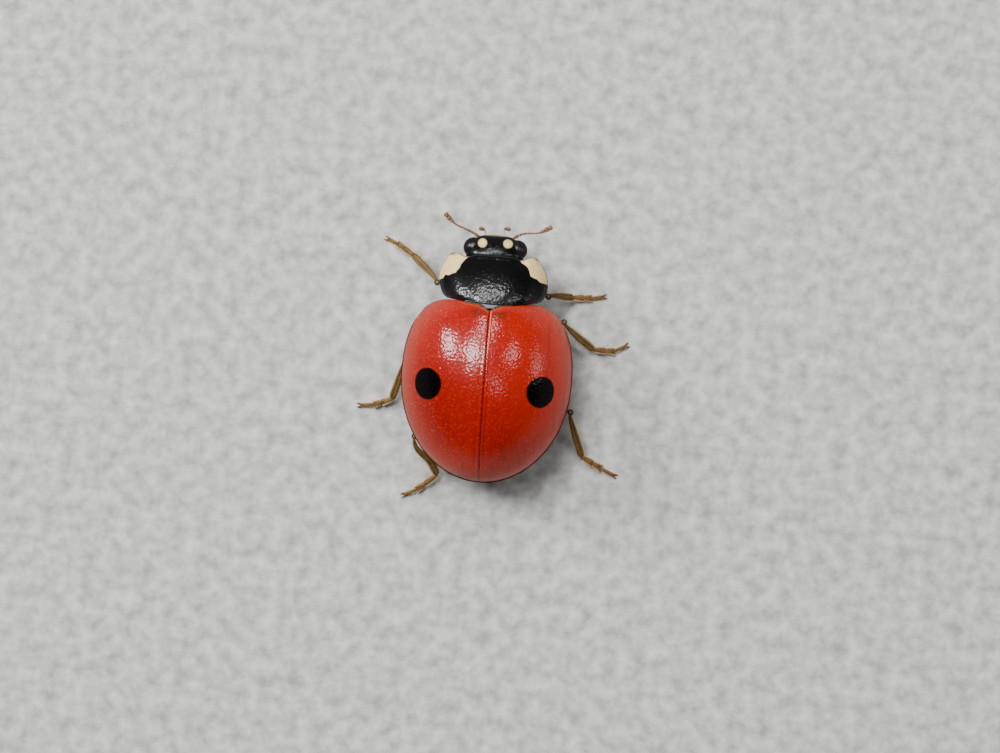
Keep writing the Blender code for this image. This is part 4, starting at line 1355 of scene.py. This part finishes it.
# %% where the joints are
HIP_Z, RING_Z = 0.700, 0.600
ANKLE_Z, FOOT_Z, TOE_Z = 0.215, 0.105, 0.040
LEGS = {  # hip, ring, knee with its height, ankle, foot, toe, and the side to which the shin bends
    "front_left": ((0.14, -2.42), (0.47, -2.44), (1.456, -2.226, 0.76), (2.137, -2.898),
                   (2.587, -3.18), (2.925, -3.31), -1),
    "front_right": ((-0.14, -2.42), (-0.47, -2.40), (-1.445, -2.052, 0.82), (-2.064, -2.085),
                    (-2.554, -2.10), (-2.97, -2.18), 1),
    "middle_left": ((0.34, -0.88), (0.80, -0.84), (2.19, -0.20, 0.66), (2.433, 0.869),
                    (2.909, 1.048), (3.39, 1.10), 1),
    "middle_right": ((-0.34, -0.88), (-0.80, -0.92), (-1.892, -1.425, 0.66), (-2.683, -0.77),
                     (-3.246, -0.765), (-3.64, -0.985), -1),
    "rear_left": ((0.36, 0.30), (0.95, 0.40), (1.77, 1.79, 0.64), (1.126, 2.746),
                  (1.65, 3.18), (2.07, 3.38), 1),
    "rear_right": ((-0.36, 0.30), (-0.95, 0.33), (-2.217, 0.894, 0.66), (-2.578, 2.021),
                   (-3.10, 2.29), (-3.60, 2.52), -1),
}
for leg, (hip, ring, knee, ankle, foot, toe, _) in LEGS.items():
    for node, ends in (("coxa", (hip, ring)), ("femur", (ring, knee)), ("tibia", (knee, ankle)),
                       ("tarsus", (ankle, toe))):
        low, high = box_mm(f"{node}_{leg}")
        for x, y, *_ in ends:
            if not (low.x <= x + BODY.x <= high.x and low.y <= y + BODY.y <= high.y):
                raise SystemExit(f"a joint of {leg} isn't in the solid {node}")
print("all joints lie in their solids")

# %% the joints' forms, each made once
hip_form = joint_form(
    "hip_form", 16, (0.00, 0.13, 0.12), (0.15, 0.17, 0.16), (0.55, 0.16, 0.15), (0.90, 0.12, 0.11),
    (1.00, 0.08, 0.07))
thigh_form = joint_form(
    "thigh_form", 16, (0.00, 0.060, 0.060), (0.04, 0.085, 0.080), (0.12, 0.080, 0.075),
    (0.17, 0.105, 0.090), (0.45, 0.135, 0.105, 0.01), (0.72, 0.125, 0.100, 0.01),
    (0.90, 0.090, 0.080), (0.97, 0.074, 0.068), (1.01, 0.045, 0.045))
shin_form = joint_form(
    "shin_form", 16, (0.030, 0.030, 0.030, 0.030), (0.060, 0.044, 0.044, 0.032),
    (0.14, 0.056, 0.050, 0.036), (0.30, 0.078, 0.055, 0.036), (0.55, 0.098, 0.058, 0.026),
    (0.80, 0.106, 0.060, 0.010), (0.93, 0.100, 0.058, 0.002), (0.985, 0.080, 0.050),
    (1.00, 0.050, 0.035))
first_foot_form = joint_form(
    "first_foot_form", 14, (-0.02, 0.050, 0.044), (0.08, 0.062, 0.052), (0.50, 0.074, 0.056),
    (0.82, 0.088, 0.056, 0, -0.004), (0.97, 0.086, 0.048, 0, -0.006), (1.04, 0.060, 0.032, 0, -0.006))
lobed_form = joint_form(
    "lobed_form", 14, (-0.05, 0.050, 0.036), (0.10, 0.070, 0.046), (0.42, 0.090, 0.052),
    (0.80, 0.100, 0.050, 0, -0.006), (1.00, 0.094, 0.040, 0, -0.010), (1.08, 0.066, 0.024, 0, -0.012))
last_foot_form = joint_form(
    "last_foot_form", 12, (-0.05, 0.036, 0.030), (0.12, 0.042, 0.036, 0, 0.010),
    (0.50, 0.045, 0.038, 0, 0.022), (0.85, 0.054, 0.042, 0, 0.014), (0.98, 0.050, 0.038, 0, 0.006),
    (1.04, 0.030, 0.024))
claw_form = joint_form(
    "claw_form", 8, (0.00, 0.030, 0.028), (0.20, 0.030, 0.026, 0.004, 0.008),
    (0.50, 0.021, 0.020, 0.012, 0.008), (0.80, 0.012, 0.012, 0.010, -0.006),
    (1.00, 0.004, 0.004, -0.002, -0.026))
tooth_form = joint_form(
    "tooth_form", 6, (0.00, 0.015, 0.015), (0.50, 0.010, 0.010), (1.00, 0.003, 0.003, 0, -0.008))


def notched(point):
    """The notch between the two lobes."""
    back = 0.30 * ramp(point.x, 0.55, 1.05) * hump(point.y, 0.0, 0.055)
    return Vector((point.x - back, point.y, point.z))


def grooved(point):
    """A long furrow down the shin's upper side, so that light draws a line along it."""
    depth = (0.018 * hump(point.y - 0.02, 0.0, 0.045)
             * ramp(point.x, 0.10, 0.30) * ramp(point.x, 0.98, 0.85))
    return Vector((point.x, point.y, point.z - depth if point.z > 0 else point.z))


reshape(lobed_form, notched)
reshape(shin_form, grooved)

deselect()
bpy.ops.mesh.primitive_torus_add(major_radius=0.060, minor_radius=0.021,
                                 major_segments=28, minor_segments=10)
ring_form = named("ring_form")
deselect()
bpy.ops.mesh.primitive_uv_sphere_add(segments=20, ring_count=12, radius=0.047)
ball_form = named("ball_form")
joint_forms += [ring_form, ball_form]

# %% helpers for one leg
FOOT_SPLIT = 0.56  # the first foot joint ends at this share of the way from ankle to foot
CLAW_SHARE = 0.66  # the last foot joint ends and the claws start here, from foot to toe
CLAW_SPREAD = math.radians(19)
CLAW_LENGTH, CLAW_TIP_Z = 0.15, 0.030
HIDDEN_KNEE = "middle_left"  # under the wing case, so it has no ring and its ball sits further in
BOWED, BOW = "rear_left", 0.15  # the near half of this shin bows away from the wing case
SOLE_LENGTHS = (0.025, 0.045)


def at(ob, place):
    twin = copy_of(ob, "part")
    twin.data.transform(Matrix.Translation(place))
    return twin


def edge_hairs(start, end, half_width, count, draw, patch_row, lengths=(0.030, 0.055), sole=False):
    """Hairs along both edges of a flat joint, or in a brush below it."""
    along, aside, top = axes_between(start, end)
    hairs = []
    for number in range(count):
        share = draw.uniform(0.08, 1.0)
        sign = 1 if number % 2 else -1
        width = half_width(share) * (draw.uniform(0.0, 0.9) if sole else 0.93)
        lift = -0.030 if sole else draw.uniform(-0.02, 0.03)
        root = start.lerp(end, share) + aside * sign * width + top * lift
        lean = along * draw.uniform(0.7, 1.3) + aside * sign * (0.15 if sole else 0.75)
        lean += top * (-0.9 if sole else draw.uniform(-0.25, 0.35))
        hairs.append((root, lean, draw.uniform(*lengths), 0.0055,
                      (share * 0.9, patch_row + 0.05 * number / count)))
    return hairs


def shin_width(share):
    return 0.05 + 0.055 * ramp(share, 0.05, 0.70)


def foot_width(share):
    return 0.062 + 0.028 * ramp(share, 0.0, 0.85)


# %% one leg after the other
knee_rings, knee_balls = [], []
for index, (leg, (hip, ring, knee, ankle, foot, toe, bend)) in enumerate(LEGS.items()):
    draw = random.Random(100 + index)
    hip, ring, knee = Vector((*hip, HIP_Z)), Vector((*ring, RING_Z)), Vector(knee)
    ankle, foot, toe = Vector((*ankle, ANKLE_Z)), Vector((*foot, FOOT_Z)), Vector((*toe, TOE_Z))

    hand_over(laid_between(hip_form, f"coxa_{leg}_shell", hip, ring), knee_dark, "leg", f"coxa_{leg}")
    thigh = laid_between(thigh_form, f"femur_{leg}_shell", ring, knee.lerp(ring, 0.05))
    hand_over(thigh, leg_brown, "leg", f"femur_{leg}")
    if leg != HIDDEN_KNEE:
        knee_rings.append(at(ring_form, knee))
    knee_balls.append(at(ball_form, knee.lerp(ring, 0.012) if leg == HIDDEN_KNEE else knee))
    shin = laid_between(shin_form, f"tibia_{leg}_shell", knee, ankle, flip=bend)
    if leg == BOWED:
        along, aside, _ = axes_between(knee, ankle)
        reach = (ankle - knee).length
        reshape(shin, lambda p: p - aside * BOW * hump((p - knee).dot(along) / reach, 0.25, 0.45))
    hand_over(shin, leg_brown, "leg", f"tibia_{leg}")

    middle = ankle.lerp(foot, FOOT_SPLIT)
    claw_root = foot.lerp(toe, CLAW_SHARE)
    foot_parts = [laid_between(form, "part", start, end) for form, start, end in (
        (first_foot_form, ankle, middle), (lobed_form, middle, foot),
        (last_foot_form, foot.lerp(middle, 0.12), claw_root))]
    hand_over(joined(foot_parts, f"tarsus_{leg}_joints"), foot_brown, "leg", f"tarsus_{leg}")
    along, aside, top = axes_between(claw_root, toe)
    claws = []
    for sign in (-1, 1):
        outward = along * math.cos(CLAW_SPREAD) + aside * sign * math.sin(CLAW_SPREAD)
        tip = claw_root + outward * CLAW_LENGTH
        tip.z = CLAW_TIP_Z
        root = claw_root + aside * sign * 0.020
        claws.append(laid_between(claw_form, "claw", root, tip, flip=sign))
        claws.append(laid_between(tooth_form, "tooth", root.lerp(tip, 0.15),
                                  root.lerp(tip, 0.52) - top * 0.022))
    hand_over(joined(claws, f"claws_{leg}"), claw_horn, "leg")

    hairs = edge_hairs(knee.lerp(ankle, 0.06), ankle, shin_width, 210, draw, 0.0)
    hairs += edge_hairs(ankle, middle, foot_width, 100, draw, 0.2)
    hairs += edge_hairs(middle, foot, foot_width, 100, draw, 0.4)
    hairs += edge_hairs(foot, claw_root, lambda share: 0.044, 40, draw, 0.6, (0.02, 0.04))
    hairs += edge_hairs(ankle, middle, foot_width, 70, draw, 0.7, SOLE_LENGTHS, sole=True)
    hairs += edge_hairs(middle, foot, foot_width, 110, draw, 0.8, SOLE_LENGTHS, sole=True)
    hand_over(hair_mesh(f"hairs_{leg}", hairs), hair_pale, "leg")
hand_over(joined(knee_rings, "knee_rings"), knee_dark, "leg")
hand_over(joined(knee_balls, "knee_skin"), joint_skin, "leg")

# %% the forms that were copied are no longer needed
print("forms removed:", len(joint_forms))
for form in joint_forms:
    bpy.data.objects.remove(form, do_unlink=True)

# %% [markdown]
# ## The end
# The pieces and their triangles are counted and printed, and the script is done.

# %% count of pieces and the end
print("pieces:", len(made), "triangles:", sum(made))
